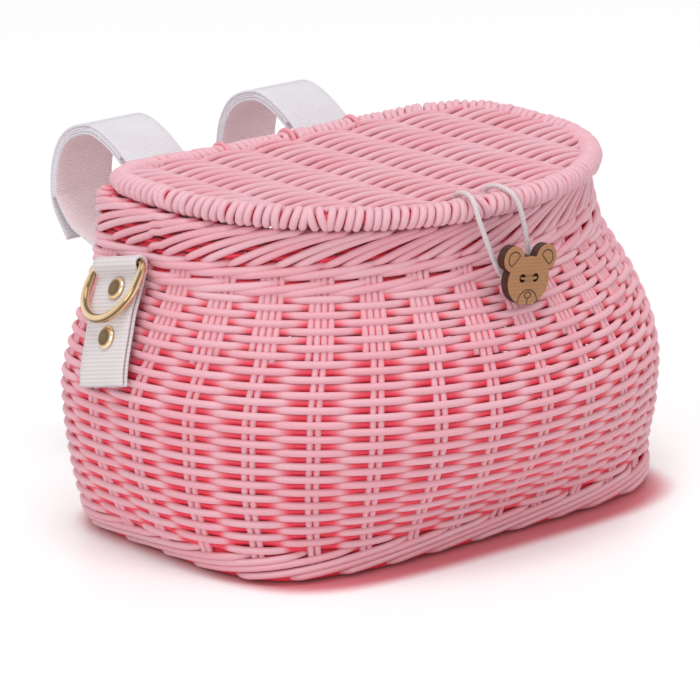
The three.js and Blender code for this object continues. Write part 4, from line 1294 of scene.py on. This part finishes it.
STITCH_Y = BUTTON_FACE - 0.75
STITCH_CORNER_Y = STITCH_Y + 0.9
STITCH_FLAT_X = 2.2
THREAD_END_Y = -73.9
THREAD_RADIUS = 0.5
THREAD_SIDES = 12
THREAD_STEPS = 60
half_stitch = [
    (HOLE_X, THREAD_END_Y), (HOLE_X, BUTTON_BACK), (HOLE_X, STITCH_CORNER_Y), (STITCH_FLAT_X, STITCH_Y),
]
stitch = [(-x, y) for x, y in half_stitch] + [(0, STITCH_Y)] + half_stitch[::-1]
stitch_line = [(x, y, HEAD_Z + HOLES_UP - x * TILT_SIN) for x, y in stitch]
thread = Shape()
tube(thread, smooth_path(stitch_line, THREAD_STEPS), THREAD_RADIUS, THREAD_SIDES)
thread.piece("sewn_thread", thread_cloth, "basket", ["button_thread"])

# Floor, light and world. Close round the foot the floor's colour is painted red: a painted contact shadow,
# in the red of the light that the cane throws there

FLOOR_SIZE = 14
FLOOR_Z = -0.0005
FLOOR_SHADE = (0.93, 0.93, 0.93, 1)
FLOOR_PALE = (0.95, 0.95, 0.95, 1)
FLOOR_LIGHT = 0.13
PAINTED_SHADOW_RED = (0.72, 0.14, 0.19, 1)
TINT_SHARE = 0.9
TINT_SHIFT = 0.001
TINT_SIDE = 0.975
TINT_FRONT = 1.12
TINT_FADE = (0.97, 1.09)
BLACK = (0, 0, 0, 1)
WHITE = (1, 1, 1, 1)

floor_finish = Finish("studio_floor")
cloud = floor_finish.noise(scale=3, detail=2)
half, front, back, widest, bow, heel = (float(size) for size in body_sizes(1.0))
floor_x, floor_y = floor_finish.axes()[:2]
sideways = (floor_x - TINT_SHIFT).size() / (half * TINT_SIDE * MM)
onward = (floor_y - widest * MM).highest(0)
ahead = (widest * MM - floor_y).highest(0) / ((front + widest) * TINT_FRONT * MM)
behind = onward / ((back - widest) * BACK_FLATNESS * MM)
away = (sideways ** bow + ahead ** bow) ** (1 / bow)
away = away.highest((sideways ** heel + behind ** heel) ** (1 / heel))
away = away.highest(onward / ((back - widest) * MM))
# Painted shadow: the floor goes red close round the foot, and the white camera light is taken off there.
painted_shadow = (1 - away.ramp(*TINT_FADE)) * TINT_SHARE
lit = floor_finish.studio_ray() * (1 - painted_shadow)
floor_finish.set(
    Base_Color=floor_finish.mix(painted_shadow, floor_finish.mix(cloud, FLOOR_SHADE, FLOOR_PALE), PAINTED_SHADOW_RED),
    Roughness=0.4 + cloud * 0.06,
    Specular_IOR_Level=0.3,
    Emission_Color=floor_finish.mix(lit, BLACK, WHITE),
    Emission_Strength=FLOOR_LIGHT,
)
bpy.ops.mesh.primitive_plane_add(size=FLOOR_SIZE, location=(0, 0, FLOOR_Z))
floor = bpy.context.object
floor.name = "studio_floor"
floor.data.materials.append(floor_finish.material)

AIM = Vector((0, 0, 0.06))


def softbox(name, place, size, power):
    bpy.ops.object.light_add(type="AREA", location=place)
    lamp = bpy.context.object
    lamp.name = name
    lamp.data.shape = "DISK"
    lamp.data.size = size
    lamp.data.energy = power
    lamp.rotation_euler = (AIM - Vector(place)).to_track_quat("-Z", "Y").to_euler()


softbox("top_light", (-0.3, -0.3, 2.3), size=1.3, power=20)
softbox("front_light", (-2.3, -1.05, 1.25), size=1.4, power=17.5)
softbox("right_light", (2.0, -1.2, 1.2), size=1.4, power=6.5)

WORLD_LIGHT = 0.56
WORLD_WHITE = 1.0
world = bpy.data.worlds.new("studio")
bpy.context.scene.world = world
sky = Nodes(world)
dim = sky.node("ShaderNodeBackground", 0, {}, WHITE, WORLD_LIGHT)
bright = sky.node("ShaderNodeBackground", 0, {}, WHITE, WORLD_WHITE)
choice = sky.node("ShaderNodeMixShader", 0, {}, sky.studio_ray(), dim, bright)
sky.put(sky.tree.nodes["World Output"].inputs["Surface"], choice)
